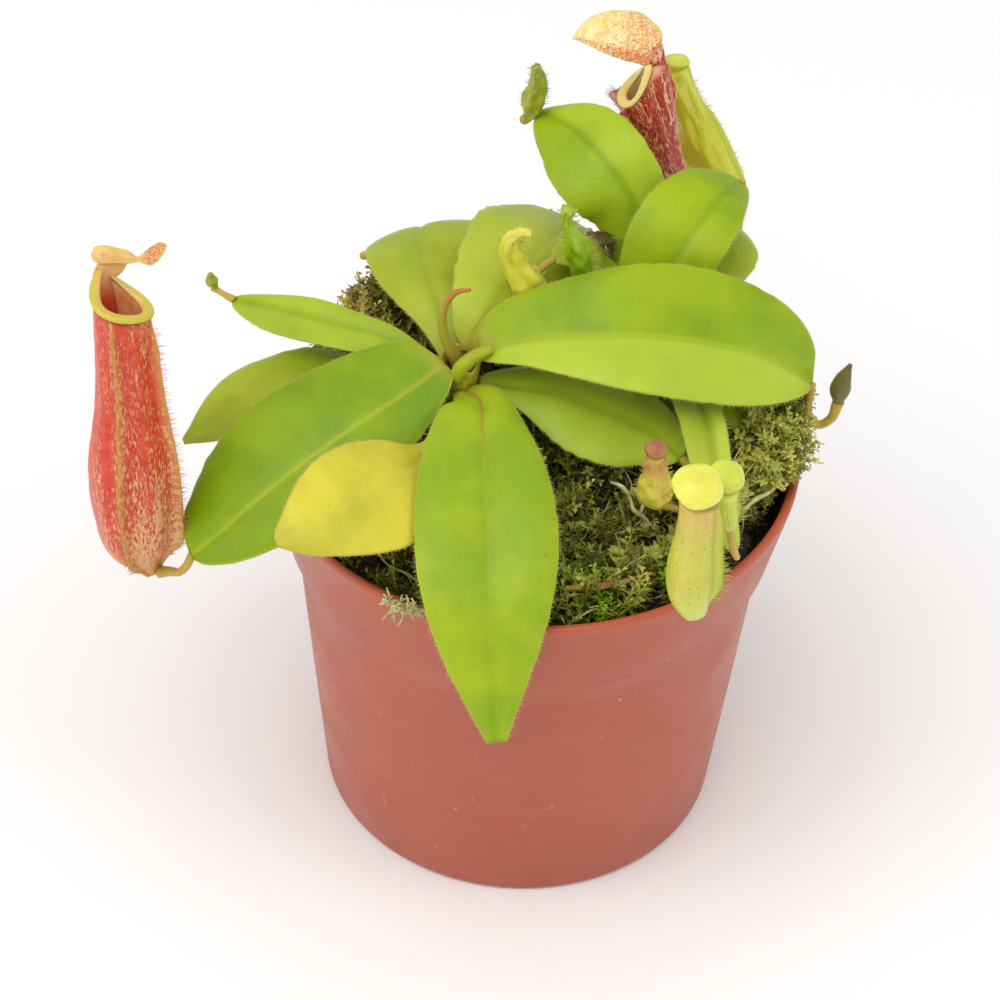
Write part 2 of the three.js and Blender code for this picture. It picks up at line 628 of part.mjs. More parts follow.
    rib: [[23, 14.6, 83.4], [29.4, 7.4, 84], [33.4, 2, 82.4], [35.2, -1.4, 80.2]],
    left: [6.6, 0.1, 0.8, 0.6], right: [5.4, 0.1, 0.8, 0.6], arch: 0.16, widest: 0.6,
    face0: [0, 0, 1], face1: [0.2, -0.1, 1],
  },
  {
    name: "leaf_under", stem: "back", bearing: 262, from: 79.4, colour: "shadedLeaf", plain: true,
    rib: [[16.4, 10, 79.8], [21, 1, 79.2], [26, -7.4, 76.6]],
    left: [3.6, 0.15, 0.8, 0.8], right: [3.6, 0.15, 0.8, 0.8], arch: 0.1, widest: 0.5,
    face0: [0, 0, 1],
    tendril: [
      [29.6, -17, 75.4], [30, -28, 75.4], [28.6, -38, 76.2], [26.4, -43.2, 77.8],
      [25.9, -44.5, 79.7],
    ],
    cord: [0.6, 0.5, 0.5, 0.5],
  },
  {
    name: "leaf_back", stem: "back", bearing: 108, from: 83.6, colour: "shadedLeaf", plain: true,
    rib: [[14.8, 32, 87.6], [15, 42, 89.4], [15.6, 52, 86.4], [17.6, 58.6, 80.6]],
    left: [4.6, 0.15, 0.8, 0.7], right: [4.4, 0.15, 0.8, 0.7], arch: 0.16, widest: 0.58,
    face0: [0, -0.2, 1], face1: [0.1, 0.5, 1],
    tendril: [
      [19.4, 60.8, 76.6], [22.6, 60.4, 73.4], [25.8, 56.6, 73], [26.8, 52, 76], [26.3, 49.2, 81],
      [26.1, 48.4, 83.8],
    ],
  },
  {
    name: "leaf_short_left", stem: "back", bearing: 196, from: 87.2, colour: "shadedLeaf", plain: true,
    rib: [[10.2, 20, 95], [6, 19.2, 99.3], [2, 16.6, 100]],
    left: [3, 0.2, 1.2, 0.8], right: [3, 0.2, 1.2, 0.8], arch: 0.1, widest: 0.6, ends: [0.9, 0.8],
    face0: [-0.5, -0.1, 1], face1: [0, -0.2, 1],
    tendril: [[-0.2, 14.8, 99.2], [-1.6, 13.2, 98.2], [-2.3, 12.3, 98]], cord: [0.6, 0.55, 0.55, 0.6],
  },
  {
    name: "leaf_short_back", stem: "back", bearing: 232, from: 81.6, colour: "leaf", plain: true,
    rib: [[12.4, 17, 87], [9.6, 15.6, 92]],
    left: [2, 0.2, 1.2, 0.8], right: [2, 0.2, 1.2, 0.8], arch: 0.1, widest: 0.55, ends: [0.9, 0.8],
    face0: [-0.8, -0.6, 1], face1: [-0.8, -0.6, 1],
    tendril: [[7.8, 15, 95.4], [6.5, 15, 97.4], [6.1, 15, 98.8]], cord: [0.6, 0.5, 0.5, 0.6],
  },
];

// Open pitchers. radii runs from the foot to the mouth, and front is the way the mouth looks.
const CUPS = [
  {
    name: "pitcher_left", front: [0.55, -0.83], rise: 5, nip: 0.6, spine: 0, tilt: 1.2, wall: 0.9,
    floor: 0.14, colour: "redPitcher",
    axis: [
      [-62.2, -21.6, 61], [-63.8, -20.8, 66], [-65, -19.2, 77], [-65.3, -17, 89],
      [-65.9, -14.6, 100], [-66.5, -12.8, 108.8],
    ],
    radii: [1.5, 5.6, 6.6, 6.9, 6.5, 5.5, 4.9, 4.9, 5.1], wing: 1.6,
    wingRun: [0.2, 1.2, 1.2, 1.1, 1, 1, 0.9, 0.8, 0.2],
    collar: 0.95,
  },
  {
    name: "pitcher_back", front: [-1, 0], rise: 5.8, nip: 0.4, spine: 3, tilt: 0, wall: 0.7, floor: 0.14,
    colour: "redPitcher",
    axis: [
      [26, 48.2, 84.4], [24.6, 47.6, 88.6], [21.2, 47, 96], [18.6, 46, 104], [16.8, 45, 110],
      [15.6, 44.4, 113.6],
    ],
    radii: [1.5, 3, 3.3, 3.3, 3.4, 3.5, 3.6, 3.5, 3.4], wing: 3.8,
    wingRun: [0, 0.24, 0.3, 0.4, 0.4, 0.45, 0.6, 1.08, 0.3],
    collar: 1.05,
  },
];

// Closed pitchers and buds: solid bodies, since their lids are still shut.
const BUDS = [
  {
    name: "pitcher_pale_front", colour: "palePitcher", sides: 12, steps: 10,
    axis: [[25.9, -44.6, 80.3], [25.3, -45, 83], [24.9, -45, 90], [25.1, -45, 98], [25.1, -44.8, 103.4]],
    radii: [1.9, 3.5, 3.8, 3.7, 3.3, 3.1, 3.1], finned: [5], fin: [0, 0.4, 1.7, 1.9, 1.8, 1.6, 0.6],
  },
  {
    name: "pitcher_pale_right", colour: "greenPitcher", sides: 10, steps: 9,
    axis: [[30.7, -37.6, 91.6], [30.3, -38, 93.2], [29.8, -38, 96.2], [29.6, -37.8, 99.6]],
    radii: [0.9, 1.7, 1.9, 1.9, 2], finned: [3], fin: [0, 0.6, 0.6, 0.3],
  },
  {
    name: "pitcher_small", colour: "palePitcher", sides: 9, steps: 7,
    axis: [[20.8, -21.6, 81], [19.9, -22, 83.6], [19.6, -22, 87.4], [19.4, -22, 91]],
    radii: [1, 2.7, 2.8, 2, 1.7],
  },
  {
    name: "pitcher_green_back", colour: "greenPitcher", sides: 12, steps: 11,
    axis: [
      [32.4, 56.6, 77.8], [31.6, 56.4, 83], [29.7, 56, 90.5], [26, 56, 100], [23.3, 55.4, 107],
      [21.6, 55, 112.4],
    ],
    radii: [1.2, 3.5, 3.9, 3.6, 3, 2.4, 2], finned: [4, 10], fin: [0, 0.7, 0.6, 0.4, 0.3, 0.1],
  },
  {
    name: "pitcher_withered", colour: "palePitcher", sides: 9, steps: 11,
    axis: [
      [-2.6, 12, 98.7], [-3.5, 12, 101], [-4.8, 12, 103.6], [-5.4, 11.6, 106.8], [-3.6, 11, 109],
      [-1.6, 10.8, 109],
    ],
    radii: [0.9, 2.4, 2.5, 2.2, 1.8, 1.3, 0.8],
  },
  {
    name: "bud_green_back", colour: "greenPitcher", sides: 8, steps: 9,
    axis: [[6.1, 15, 99.4], [5.6, 15, 102.6], [4.2, 14.8, 107], [3.8, 14.2, 111], [5.2, 13.8, 112.8]],
    radii: [0.8, 2.3, 2.4, 1.8, 1.2, 0.5],
  },
  {
    name: "bud_between_leaves", colour: "greenPitcher", sides: 7, steps: 6,
    axis: [[-9.8, 37, 86.3], [-9.9, 37, 89.8], [-9.5, 36.8, 92.6], [-8.2, 36.4, 94.4]],
    radii: [0.7, 1.6, 1.4, 0.4],
  },
  {
    name: "bud_tall_leaf", colour: "greenPitcher", sides: 8, steps: 7,
    axis: [[-3.4, 46, 106.8], [-2.6, 45.8, 110], [-1.8, 45.4, 114.4], [-2.2, 45, 118.6]],
    radii: [0.6, 1.8, 1.8, 1.3, 0.7],
  },
  {
    name: "bud_right_tendril", colour: "brownPitcher", sides: 7, steps: 6,
    axis: [[50.7, 7, 79.4], [50.8, 7, 82], [51.2, 7, 85], [52, 7, 88]],
    radii: [0.7, 1.7, 1.3, 0.4],
  },
  {
    name: "bud_left_tendril", colour: "greenPitcher", sides: 6, steps: 5,
    axis: [[-54.7, 20.6, 87.4], [-55.4, 20.8, 88.8], [-55.6, 20.8, 90.2]],
    radii: [0.5, 1.1, 0.5],
  },
  {
    name: "bud_back_tendril", colour: "greenPitcher", sides: 7, steps: 6,
    axis: [[2.4, 46.3, 81.2], [1.6, 46.2, 84.4], [1.4, 45.6, 87.6]],
    radii: [0.7, 1.5, 1.3, 0.4],
  },
  {
    name: "pitcher_brown_old", colour: "brownPitcher", sides: 8, steps: 8,
    axis: [[14.3, 23.1, 85], [12.6, 26.4, 87], [10.4, 27.4, 89.6], [9.6, 27, 93], [9.8, 26.8, 97]],
    radii: [0.5, 0.5, 1.2, 2.3, 2.2, 1.9],
  },
];

// Lids: the first two stand open over the hollow pitchers, and the caps close the others.
const LIDS = [
  {
    name: "lid_left", colour: "lid", left: [5.2, -0.1], right: [7.2, 0.5], face: [0, -0.5, 1],
    rib: [
      [-68.6, -7.9, 113.8], [-67.4, -6.6, 114.8], [-66.8, -5, 115], [-66.6, -3.4, 114.2],
      [-66.4, -2.2, 113.2],
    ],
  },
  {
    name: "lid_back", colour: "lid", left: [4.9, -0.16], right: [6.2, 0], face: [0, -0.1, 1],
    rib: [
      [18.9, 44.2, 121.1], [18.6, 45.6, 123.2], [17.6, 46, 124.6], [16, 45.8, 126], [11, 45, 126.4],
      [6.4, 44.4, 125.6], [3.8, 43.8, 124.4],
    ],
  },
];
const LID_ARCH = 0.2;
const CAPS = [
  {
    name: "lid_pale_front", colour: "palePitcher",
    at: [24.8, -45, 106.5], size: [4, 3.8, 2.2], tilt: [0.35, 0.05],
  },
  {
    name: "lid_pale_right", colour: "greenPitcher",
    at: [29.7, -37.8, 102.4], size: [2.9, 2.7, 1.9], tilt: [0.3, 0.3],
  },
  {
    name: "lid_small", colour: "brownPitcher",
    at: [19.3, -22, 93.2], size: [1.9, 1.8, 1.5], tilt: [0.2, 0.1],
  },
  {
    name: "lid_green_back", colour: "greenPitcher",
    at: [21.8, 54.8, 113.9], size: [2.3, 1.7, 0.8], tilt: [0.1, 0],
  },
];

const plant = new THREE.Group();
function add(name, geometry, colour) {
  const [tone, roughness] = COLOURS[colour];
  const look = new THREE.MeshStandardMaterial({ color: tone, roughness, metalness: 0 });
  const mesh = new THREE.Mesh(geometry, look);
  mesh.name = name;
  plant.add(mesh);
}

add("pot", geometryOf(potBody()), "pot");

let peat = peatBody();
let moss = mossBody();
for (const stem of Object.values(STEMS)) {
  const room = stemBody(stem, GAP);
  peat = peat.subtract(room);
  moss = moss.subtract(room);
}
add("peat", geometryOf(peat), "peat");
add("moss", geometryOf(moss), "moss");
add("stem_front", geometryOf(stemBody(STEMS.front, 0)), "stem");
add("stem_back", geometryOf(stemBody(STEMS.back, 0)), "stem");

for (const leaf of LEAVES) add(leaf.name, leafGeometry(leaf), leaf.colour);

// The newest leaf, still rolled up, stands on top of the front stem and hooks over.
add(
  "young_leaf",
  rod(
    [[-12.6, 1.2, 93.6], [-13.6, 2, 97], [-15, 2.8, 100.6], [-14.4, 3, 103], [-11.4, 2.4, 104]],
    [1.9, 1.7, 1.2, 1, 0.7, 0.35], 8, 10,
  ),
  "shoot",
);

for (const cup of CUPS) {
  add(cup.name, cupGeometry(cup), cup.colour);
  add(cup.name + "_rim", collarGeometry(cup), "lip");
}
for (const bud of BUDS)
  add(bud.name, rod(bud.axis, bud.radii, bud.sides, bud.steps, 0, bud.finned, bud.fin), bud.colour);
for (const lid of LIDS) add(lid.name, lidGeometry(lid), lid.colour);
for (const cap of CAPS) {
  const dome = mergeVertices(stripped(new THREE.SphereGeometry(1, 10, 6)), 1e-4);
  dome.scale(...cap.size);
  dome.rotateX(cap.tilt[0]);
  dome.rotateY(cap.tilt[1]);
  dome.translate(...cap.at);
  add(cap.name, dome, cap.colour);
}

export default plant;
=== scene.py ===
import math

import bpy
import numpy as np
from mathutils import Matrix, Vector, noise


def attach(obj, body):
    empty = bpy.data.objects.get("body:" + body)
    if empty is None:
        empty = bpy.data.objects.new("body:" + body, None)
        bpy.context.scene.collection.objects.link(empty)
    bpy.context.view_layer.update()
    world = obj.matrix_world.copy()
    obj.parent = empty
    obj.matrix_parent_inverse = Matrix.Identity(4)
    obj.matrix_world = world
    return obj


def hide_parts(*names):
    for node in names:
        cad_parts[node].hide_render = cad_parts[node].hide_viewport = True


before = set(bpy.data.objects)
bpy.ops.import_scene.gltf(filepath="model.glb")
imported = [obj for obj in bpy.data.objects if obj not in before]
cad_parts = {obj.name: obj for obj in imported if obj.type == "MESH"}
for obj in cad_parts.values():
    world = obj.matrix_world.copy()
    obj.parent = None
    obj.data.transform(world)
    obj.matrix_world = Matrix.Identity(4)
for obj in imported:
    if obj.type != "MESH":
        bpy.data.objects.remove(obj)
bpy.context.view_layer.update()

scene = bpy.context.scene
MM = 0.001


# The pot: turned red-brown plastic with a stepped collar, a rounded lip, and six drain holes.
# It is satin, a little chalky, with faint turning rings and pale scuffs, and darker in patches towards the
# bottom.


# Node trees are written through this short hand: a socket is linked and a value is set.
class Nodes:
    def __init__(self, tree):
        self.tree = tree

    def add(self, kind, inputs=None, **settings):
        node = self.tree.nodes.new(kind)
        for key, value in settings.items():
            setattr(node, key, value)
        for key, value in (inputs or {}).items():
            self.put(node, key, value)
        return node

    def put(self, node, key, value):
        socket = node.inputs[key]
        if isinstance(value, bpy.types.NodeSocket):
            self.tree.links.new(value, socket)
        else:
            socket.default_value = value

    def math(self, kind, a, b=0.0):
        node = self.add("ShaderNodeMath", {0: a, 1: b}, operation=kind)
        return node.outputs[0]

    def times(self, *values):
        out = values[0]
        for value in values[1:]:
            out = self.math("MULTIPLY", out, value)
        return out

    def mix(self, share, a, b):
        node = self.add("ShaderNodeMix", {0: share, 6: a, 7: b}, data_type="RGBA")
        return node.outputs[2]

    def band(self, value, low, high, a=0.0, b=1.0):
        node = self.add("ShaderNodeMapRange", {0: value, 1: low, 2: high, 3: a, 4: b})
        node.interpolation_type = "SMOOTHSTEP"
        return node.outputs[0]

    def fact(self, name):
        return self.add("ShaderNodeAttribute", attribute_name=name).outputs["Fac"]

    def place(self):
        return self.add("ShaderNodeAttribute", attribute_name="flat").outputs["Vector"]

    def object_place(self):
        return self.add("ShaderNodeTexCoord").outputs["Object"]

    def stretched(self, vector, x, y, z=1.0):
        node = self.add("ShaderNodeVectorMath", {0: vector, 1: (x, y, z)}, operation="MULTIPLY")
        return node.outputs[0]

    def noise(self, vector, scale, detail=3.0, rough=0.5, distort=0.0):
        node = self.add("ShaderNodeTexNoise", {"Vector": vector, "Scale": scale, "Detail": detail})
        self.put(node, "Roughness", rough)
        self.put(node, "Distortion", distort)
        return node.outputs[0]

    def cells(self, vector, scale):
        node = self.add("ShaderNodeTexVoronoi", {"Vector": vector, "Scale": scale})
        return node.outputs["Distance"]


def tone(text):
    """A colour written as six hexadecimal digits, as a linear colour."""
    parts = [int(text[i : i + 2], 16) / 255 for i in (0, 2, 4)]
    return tuple([c / 12.92 if c <= 0.04045 else ((c + 0.055) / 1.055) ** 2.4 for c in parts] + [1.0])


def material(name, roughness=0.5, sheen=0.0, coat=0.0, scatter=0.0):
    """A new material and its node writer, with the shader that its colour, roughness and height go to."""
    made = bpy.data.materials.new(name)
    made.use_nodes = True
    nodes = Nodes(made.node_tree)
    shader = made.node_tree.nodes["Principled BSDF"]
    shader.inputs["Roughness"].default_value = roughness
    shader.inputs["Sheen Weight"].default_value = sheen
    shader.inputs["Coat Weight"].default_value = coat
    shader.inputs["Coat Roughness"].default_value = 0.25
    if scatter:
        shader.inputs["Subsurface Weight"].default_value = scatter
        shader.inputs["Subsurface Radius"].default_value = (1.0, 1.0, 0.35)
        shader.inputs["Subsurface Scale"].default_value = 0.0012
    return made, nodes, shader


def finish(nodes, shader, colour, height=None, depth=0.1, roughness=None):
    """Wires colour, roughness and a bump height in millimetres into a shader."""
    nodes.put(shader, "Base Color", colour)
    if roughness is not None:
        nodes.put(shader, "Roughness", roughness)
    if height is not None:
        bump = nodes.add("ShaderNodeBump", {"Height": height, "Strength": 1.0, "Distance": depth * MM})
        nodes.put(shader, "Normal", bump.outputs[0])


class Shape:
    """Points, faces and per-point facts of one mesh, in millimetres."""

    def __init__(self):
        self.points = []
        self.faces = []
        self.facts = {}

    def point(self, place, **facts):
        index = len(self.points)
        self.points.append(tuple(float(c) for c in place))
        for key, value in facts.items():
            self.facts.setdefault(key, {})[index] = value
        return index

    def skin(self, rows, closed=True, capped=True):
        """Faces through rows of point numbers that are all equally long."""
        for low, high in zip(rows, rows[1:]):
            count = len(low)
            for i in range(count if closed else count - 1):
                j = (i + 1) % count
                self.faces.append((low[i], low[j], high[j], high[i]))
        if capped:
            self.faces.append(tuple(reversed(rows[0])))
            self.faces.append(tuple(rows[-1]))

    def piece(self, name, look, slot, *nodes):
        """The finished piece. It rides on the plant's body and stands for the named solids."""
        mesh = bpy.data.meshes.new(name)
        mesh.from_pydata([(x * MM, y * MM, z * MM) for x, y, z in self.points], [], self.faces)
        for key, values in self.facts.items():
            vector = isinstance(next(iter(values.values())), tuple)
            layer = mesh.attributes.new(key, "FLOAT_VECTOR" if vector else "FLOAT", "POINT")
            data = np.zeros((len(self.points), 3) if vector else len(self.points), np.float32)
            for index, value in values.items():
                data[index] = value
            layer.data.foreach_set("vector" if vector else "value", data.ravel())
        mesh.shade_smooth()
        mesh.materials.append(look)
        made = bpy.data.objects.new(name, mesh)
        scene.collection.objects.link(made)
        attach(made, "root")
        if nodes:
            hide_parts(*nodes)
        return made


# The outline of the pot, as radius and height from the middle of its base and back to it.
POT_LINE = [
    (0, 0), (7, 0), (8, 1.2), (30.5, 1.2), (31.5, 0), (33.4, 0), (34.0, 0.25), (34.4, 0.7), (34.55, 1.2),
    (36.2, 18), (37.9, 36), (39.2, 50), (39.95, 57.2), (40.15, 57.5), (41.1, 57.55), (41.45, 57.8),
    (41.6, 58.4), (42.7, 63.5), (43.9, 69), (44.75, 73), (44.8, 73.5), (44.55, 73.9), (44.2, 74),
    (43.6, 73.95), (43.3, 73.7), (43.15, 73.2), (43.0, 72.6), (43.05, 71.5), (40.4, 59.1), (38.9, 56.6),
    (33.5, 3.9), (32.3, 2.8), (0, 2.8),
]
pot = Shape()
POT_TURNS = 168
turns = [math.tau * k / POT_TURNS for k in range(POT_TURNS)]
pot_rows = []
for r, z in POT_LINE[1:-1]:
    pot_rows.append([pot.point((r * math.cos(a), r * math.sin(a), z)) for a in turns])
pot.skin(pot_rows)
plastic, n, shader = material("pot_plastic", 0.36)
spot = n.object_place()
high = n.add("ShaderNodeSeparateXYZ", {0: spot}).outputs[2]
clouds = n.noise(spot, 28, 4, 0.6)
colour = n.mix(clouds, tone("a84c30"), tone("b65a40"))
rings = n.noise(n.stretched(spot, 3, 3, 420), 4, 2)
colour = n.mix(n.times(n.band(rings, 0.45, 0.75), 0.12), colour, tone("c47a64"))
lip = n.band(high, 0.0715, 0.0735)
colour = n.mix(n.times(lip, 0.6), colour, tone("c25a36"))
# Darker in cloudy patches towards the bottom.
low = n.band(high, 0.022, 0.001)
colour = n.mix(n.times(low, n.band(clouds, 0.3, 0.7), 0.3), colour, tone("8f4632"))
chalk = n.times(n.band(n.cells(spot, 260), 0.11, 0.05), n.band(n.noise(spot, 150, 1), 0.56, 0.64))
scuffs = n.band(n.noise(n.stretched(spot, 1, 1, 0.25), 700, 2, 0.7), 0.68, 0.76)
pale = n.math("MAXIMUM", chalk, n.times(scuffs, 0.5))
colour = n.mix(n.times(pale, 0.55), colour, tone("d9a893"))
crumbs = n.times(n.band(n.cells(spot, 190), 0.1, 0.06), n.band(n.noise(spot, 60, 1), 0.58, 0.64))
colour = n.mix(n.times(crumbs, 0.6), colour, tone("5b3020"))
height = n.math("ADD", n.times(rings, 0.5), n.times(n.noise(spot, 900, 2), 0.35))
gloss = n.band(n.noise(spot, 60, 3), 0.3, 0.7, 0.32, 0.46)
finish(n, shader, colour, height, 0.03, gloss)
pot_piece = pot.piece("pot_turned", plastic, "pot", "pot")
DRAINS, DRAIN_REACH, DRAIN_RADIUS = 6, 20, 3
drills = Shape()
for k in range(DRAINS):
    turn = math.tau * (k + 0.5) / DRAINS
    x, y = DRAIN_REACH * math.cos(turn), DRAIN_REACH * math.sin(turn)
    around = [math.tau * j / 28 for j in range(28)]
    ring = [(x + DRAIN_RADIUS * math.cos(a), y + DRAIN_RADIUS * math.sin(a)) for a in around]
    drills.skin([[drills.point((*spot, z)) for spot in ring] for z in (-2, 6)])
drill_mesh = bpy.data.meshes.new("drills")
drill_mesh.from_pydata([tuple(c * MM for c in p) for p in drills.points], [], drills.faces)
drill_piece = bpy.data.objects.new("drills", drill_mesh)
scene.collection.objects.link(drill_piece)
cut = pot_piece.modifiers.new("drains", "BOOLEAN")
cut.operation = "DIFFERENCE"
cut.object = drill_piece
drilled = bpy.data.meshes.new_from_object(pot_piece.evaluated_get(bpy.context.evaluated_depsgraph_get()))
pot_piece.modifiers.remove(cut)
pot_piece.data = drilled
drilled.set_sharp_from_angle(angle=math.radians(50))
bpy.data.objects.remove(drill_piece)


# The compost fills the pot to a few millimetres below its lip, loose and crumbly, under the moss.
# It is dark, damp peat and keeps its solid as it is.
soil, n, shader = material("compost_damp", 0.75)
spot = n.object_place()
colour = n.mix(n.noise(spot, 420, 4, 0.65), tone("1d150f"), tone("4a3826"))
finish(n, shader, colour, n.noise(spot, 700, 4, 0.7), 0.6)
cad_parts["peat"].data.materials.clear()
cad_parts["peat"].data.materials.append(soil)


# The moss: a lumpy bed with mounds at the back left and at the right, under loose sphagnum sprigs, dry
# straws and a few bright green sprigs, which lean every way and spill over the lip at the right.

# Where the two stems stand, and their radii.
STEMS = {"front": (-12.5, 1, 2.4), "back": (16, 21, 2.2)}


def unit(v):
    return v / max(np.linalg.norm(v), 1e-9)


def lerp(a, b, t):
    return a + (b - a) * t


def profile(values, t):
    """Value of an evenly spaced list at t from 0 to 1, with smooth steps between its entries."""
    spot = min(max(t, 0), 1) * (len(values) - 1)
    low = min(int(spot), len(values) - 2)
    u = spot - low
    before = values[max(low - 1, 0)]
    a, b = values[low], values[low + 1]
    after = values[min(low + 2, len(values) - 1)]
    bend = u * (2 * before - 5 * a + 4 * b - after + u * (3 * (a - b) + after - before))
    return max(a + 0.5 * u * (b - before + bend), min(a, b) * 0.9)


class Line:
    """A smooth line through points in millimetres, read by its share of length."""

    def __init__(self, points):
        p = np.array(points, float)
        p = np.vstack([2 * p[0] - p[1], p, 2 * p[-1] - p[-2]])
        dense = []
        for a, b, c, d in zip(p, p[1:], p[2:], p[3:]):
            g = [max(np.linalg.norm(w - v), 1e-6) ** 0.5 for v, w in ((a, b), (b, c), (c, d))]
            start = ((b - a) / g[0] - (c - a) / (g[0] + g[1]) + (c - b) / g[1]) * g[1]
            stop = ((c - b) / g[1] - (d - b) / (g[1] + g[2]) + (d - c) / g[2]) * g[1]
            for u in np.arange(30) / 30:
                q = u * u
                r = q * u
                ends = (2 * r - 3 * q + 1) * b + (3 * q - 2 * r) * c
                dense.append(ends + (r - 2 * q + u) * start + (r - q) * stop)
        dense.append(p[-2])
        self.points = np.array(dense)
        run = np.cumsum(np.linalg.norm(np.diff(self.points, axis=0), axis=1))
        self.length = float(run[-1])
        self.share = np.concatenate([[0], run]) / self.length

    def at(self, t):
        return np.array([np.interp(t, self.share, column) for column in self.points.T])

    def along(self, t):
        return unit((self.at(min(t + 0.01, 1)) - self.at(max(t - 0.01, 0)))[:3])


def square(up, along):
    """The part of up that is square to along, and the direction square to both."""
    up = unit(up - np.dot(up, along) * along)
    return up, np.cross(along, up)


def tube(shape, line, radii, sides=14, steps=24, up=(0.3, 0.2, 1), ripple=None, **facts):
    """A round rod along a line, closed at both ends. ripple changes its radius by a share."""
    rows = []
    up = np.array(up, float)
    for i in range(steps + 1):
        t = i / steps
        along = line.along(t)
        up, side = square(up, along)
        r = profile(radii, t)
        row = []
        for k in range(sides):
            turn = 2 * math.pi * k / sides
            reach = r * (1 + (ripple(t, turn) if ripple else 0))
            wide, high = reach * math.cos(turn), reach * math.sin(turn)
            spot = line.at(t) + side * wide + up * high
            row.append(shape.point(spot, flat=(t * line.length, wide, high), t=t, **facts))
        rows.append(row)
    shape.skin(rows)


# One tree plants copies of a small piece on a row of points, turned by spin and sized by size.
scatter_tree = bpy.data.node_groups.new("Scatter", "GeometryNodeTree")
for label, kind in (("Geometry", "Geometry"), ("Piece", "Object"), ("Look", "Material")):
    scatter_tree.interface.new_socket(label, in_out="INPUT", socket_type="NodeSocket" + kind)
scatter_tree.interface.new_socket("Geometry", in_out="OUTPUT", socket_type="NodeSocketGeometry")
tree = Nodes(scatter_tree)
given = tree.add("NodeGroupInput").outputs


def planted_by(key):
    """The output of a node that reads a vector stored on the points under key."""
    node = tree.add("GeometryNodeInputNamedAttribute", {"Name": key}, data_type="FLOAT_VECTOR")
    return next(output for output in node.outputs if output.enabled)


spin, size = planted_by("spin"), planted_by("size")
piece = tree.add("GeometryNodeObjectInfo", {"Object": given["Piece"]}).outputs["Geometry"]
spots = tree.add("GeometryNodeMeshToPoints", {"Mesh": given["Geometry"]}).outputs["Points"]
planted = tree.add(
    "GeometryNodeInstanceOnPoints", {"Points": spots, "Instance": piece, "Rotation": spin, "Scale": size}
)
real = tree.add("GeometryNodeRealizeInstances", {"Geometry": planted.outputs["Instances"]})
looked = tree.add(
    "GeometryNodeSetMaterial", {"Geometry": real.outputs["Geometry"], "Material": given["Look"]}
)
tree.add("NodeGroupOutput", {"Geometry": looked.outputs["Geometry"]})
scatter_keys = {
    item.name: item.identifier for item in scatter_tree.interface.items_tree if item.in_out == "INPUT"
}


def scatter(name, seed_shape, spots, look, slot):
    """Plants a small shape at each (place, direction, turn, (thick, wide, long), shade), as one mesh."""
    seed = bpy.data.meshes.new(name + "_seed")
    seed.from_pydata(seed_shape.points, [], seed_shape.faces)
    for key, values in seed_shape.facts.items():
        layer = seed.attributes.new(key, "FLOAT", "POINT")
        layer.data.foreach_set("value", [values[i] for i in range(len(seed_shape.points))])
    seed.shade_smooth()
    source = bpy.data.objects.new(name + "_seed", seed)
    mesh = bpy.data.meshes.new(name)
    mesh.from_pydata([tuple(c * MM for c in spot[0]) for spot in spots], [], [])
    turns, sizes, shades = [], [], []
    for _, way, turn, scale, shade in spots:
        facing = Vector(way).to_track_quat("Z", "Y").to_matrix() @ Matrix.Rotation(turn, 3, "Z")
        turns.extend(facing.to_euler())
        sizes.extend(s * MM for s in scale)
        shades.append(shade)
    mesh.attributes.new("spin", "FLOAT_VECTOR", "POINT").data.foreach_set("vector", turns)
    mesh.attributes.new("size", "FLOAT_VECTOR", "POINT").data.foreach_set("vector", sizes)
    mesh.attributes.new("shade", "FLOAT", "POINT").data.foreach_set("value", shades)
    made = bpy.data.objects.new(name, mesh)
    scene.collection.objects.link(made)
    grow = made.modifiers.new("Scatter", "NODES")
    grow.node_group = scatter_tree
    grow[scatter_keys["Piece"]] = source
    grow[scatter_keys["Look"]] = look
    ready = made.evaluated_get(bpy.context.evaluated_depsgraph_get())
    grown = bpy.data.meshes.new_from_object(ready)
    made.modifiers.remove(grow)
    made.data = grown
    bpy.data.objects.remove(source)
    for key in ("spin", "size"):
        if key in grown.attributes:
            grown.attributes.remove(grown.attributes[key])
    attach(made, "root")


def moss_top(x, y):
    def mound(cx, cy, size, spread):
        return size * math.exp(-((x - cx) ** 2 + (y - cy) ** 2) / spread**2)

    lumps = 0.9 * math.sin(0.42 * x + 0.9) * math.cos(0.38 * y) + 0.6 * math.sin(0.83 * x - 0.6 * y)
    lumps += 0.5 * math.cos(0.9 * y + 0.35 * x + 2)
    mounds = mound(-30, 30, 10, 13) + mound(41, 4, 8, 10) + mound(-3, 6, 3, 16) + mound(16, 24, 3, 9)
    return 72.2 + mounds + mound(-35, -22, 1.5, 10) + lumps


def moss_edge(turn):
    return 40.1 + 0.9 * math.sin(7 * turn) + 0.7 * math.sin(11 * turn + 1)


moss = Shape()
MOSS_RINGS, MOSS_TURNS, MOSS_FOOT = 44, 150, (37.5, 66.4)
moss_rows = []
for ring in range(1, MOSS_RINGS + 1):
    row = []
    for k in range(MOSS_TURNS):
        turn = math.tau * k / MOSS_TURNS
        r = moss_edge(turn) * ring / MOSS_RINGS
        x, y = r * math.cos(turn), r * math.sin(turn)
        rough = 1.1 * noise.fractal((x * 0.35, y * 0.35, 2), 0.7, 2.1, 4) - 1.2
        fall = 3.0 * max(0, (ring - MOSS_RINGS + 3) / 3) ** 2
        row.append(moss.point((x, y, max(moss_top(x, y) + rough - fall, 67.2))))
    moss_rows.append(row)
turns = [math.tau * k / MOSS_TURNS for k in range(MOSS_TURNS)]
r, z = MOSS_FOOT
moss_rows.append([moss.point((r * math.cos(a), r * math.sin(a), z)) for a in turns])
moss.skin(moss_rows)
bed, n, shader = material("moss_bed", 0.85, sheen=0.2)
spot = n.object_place()
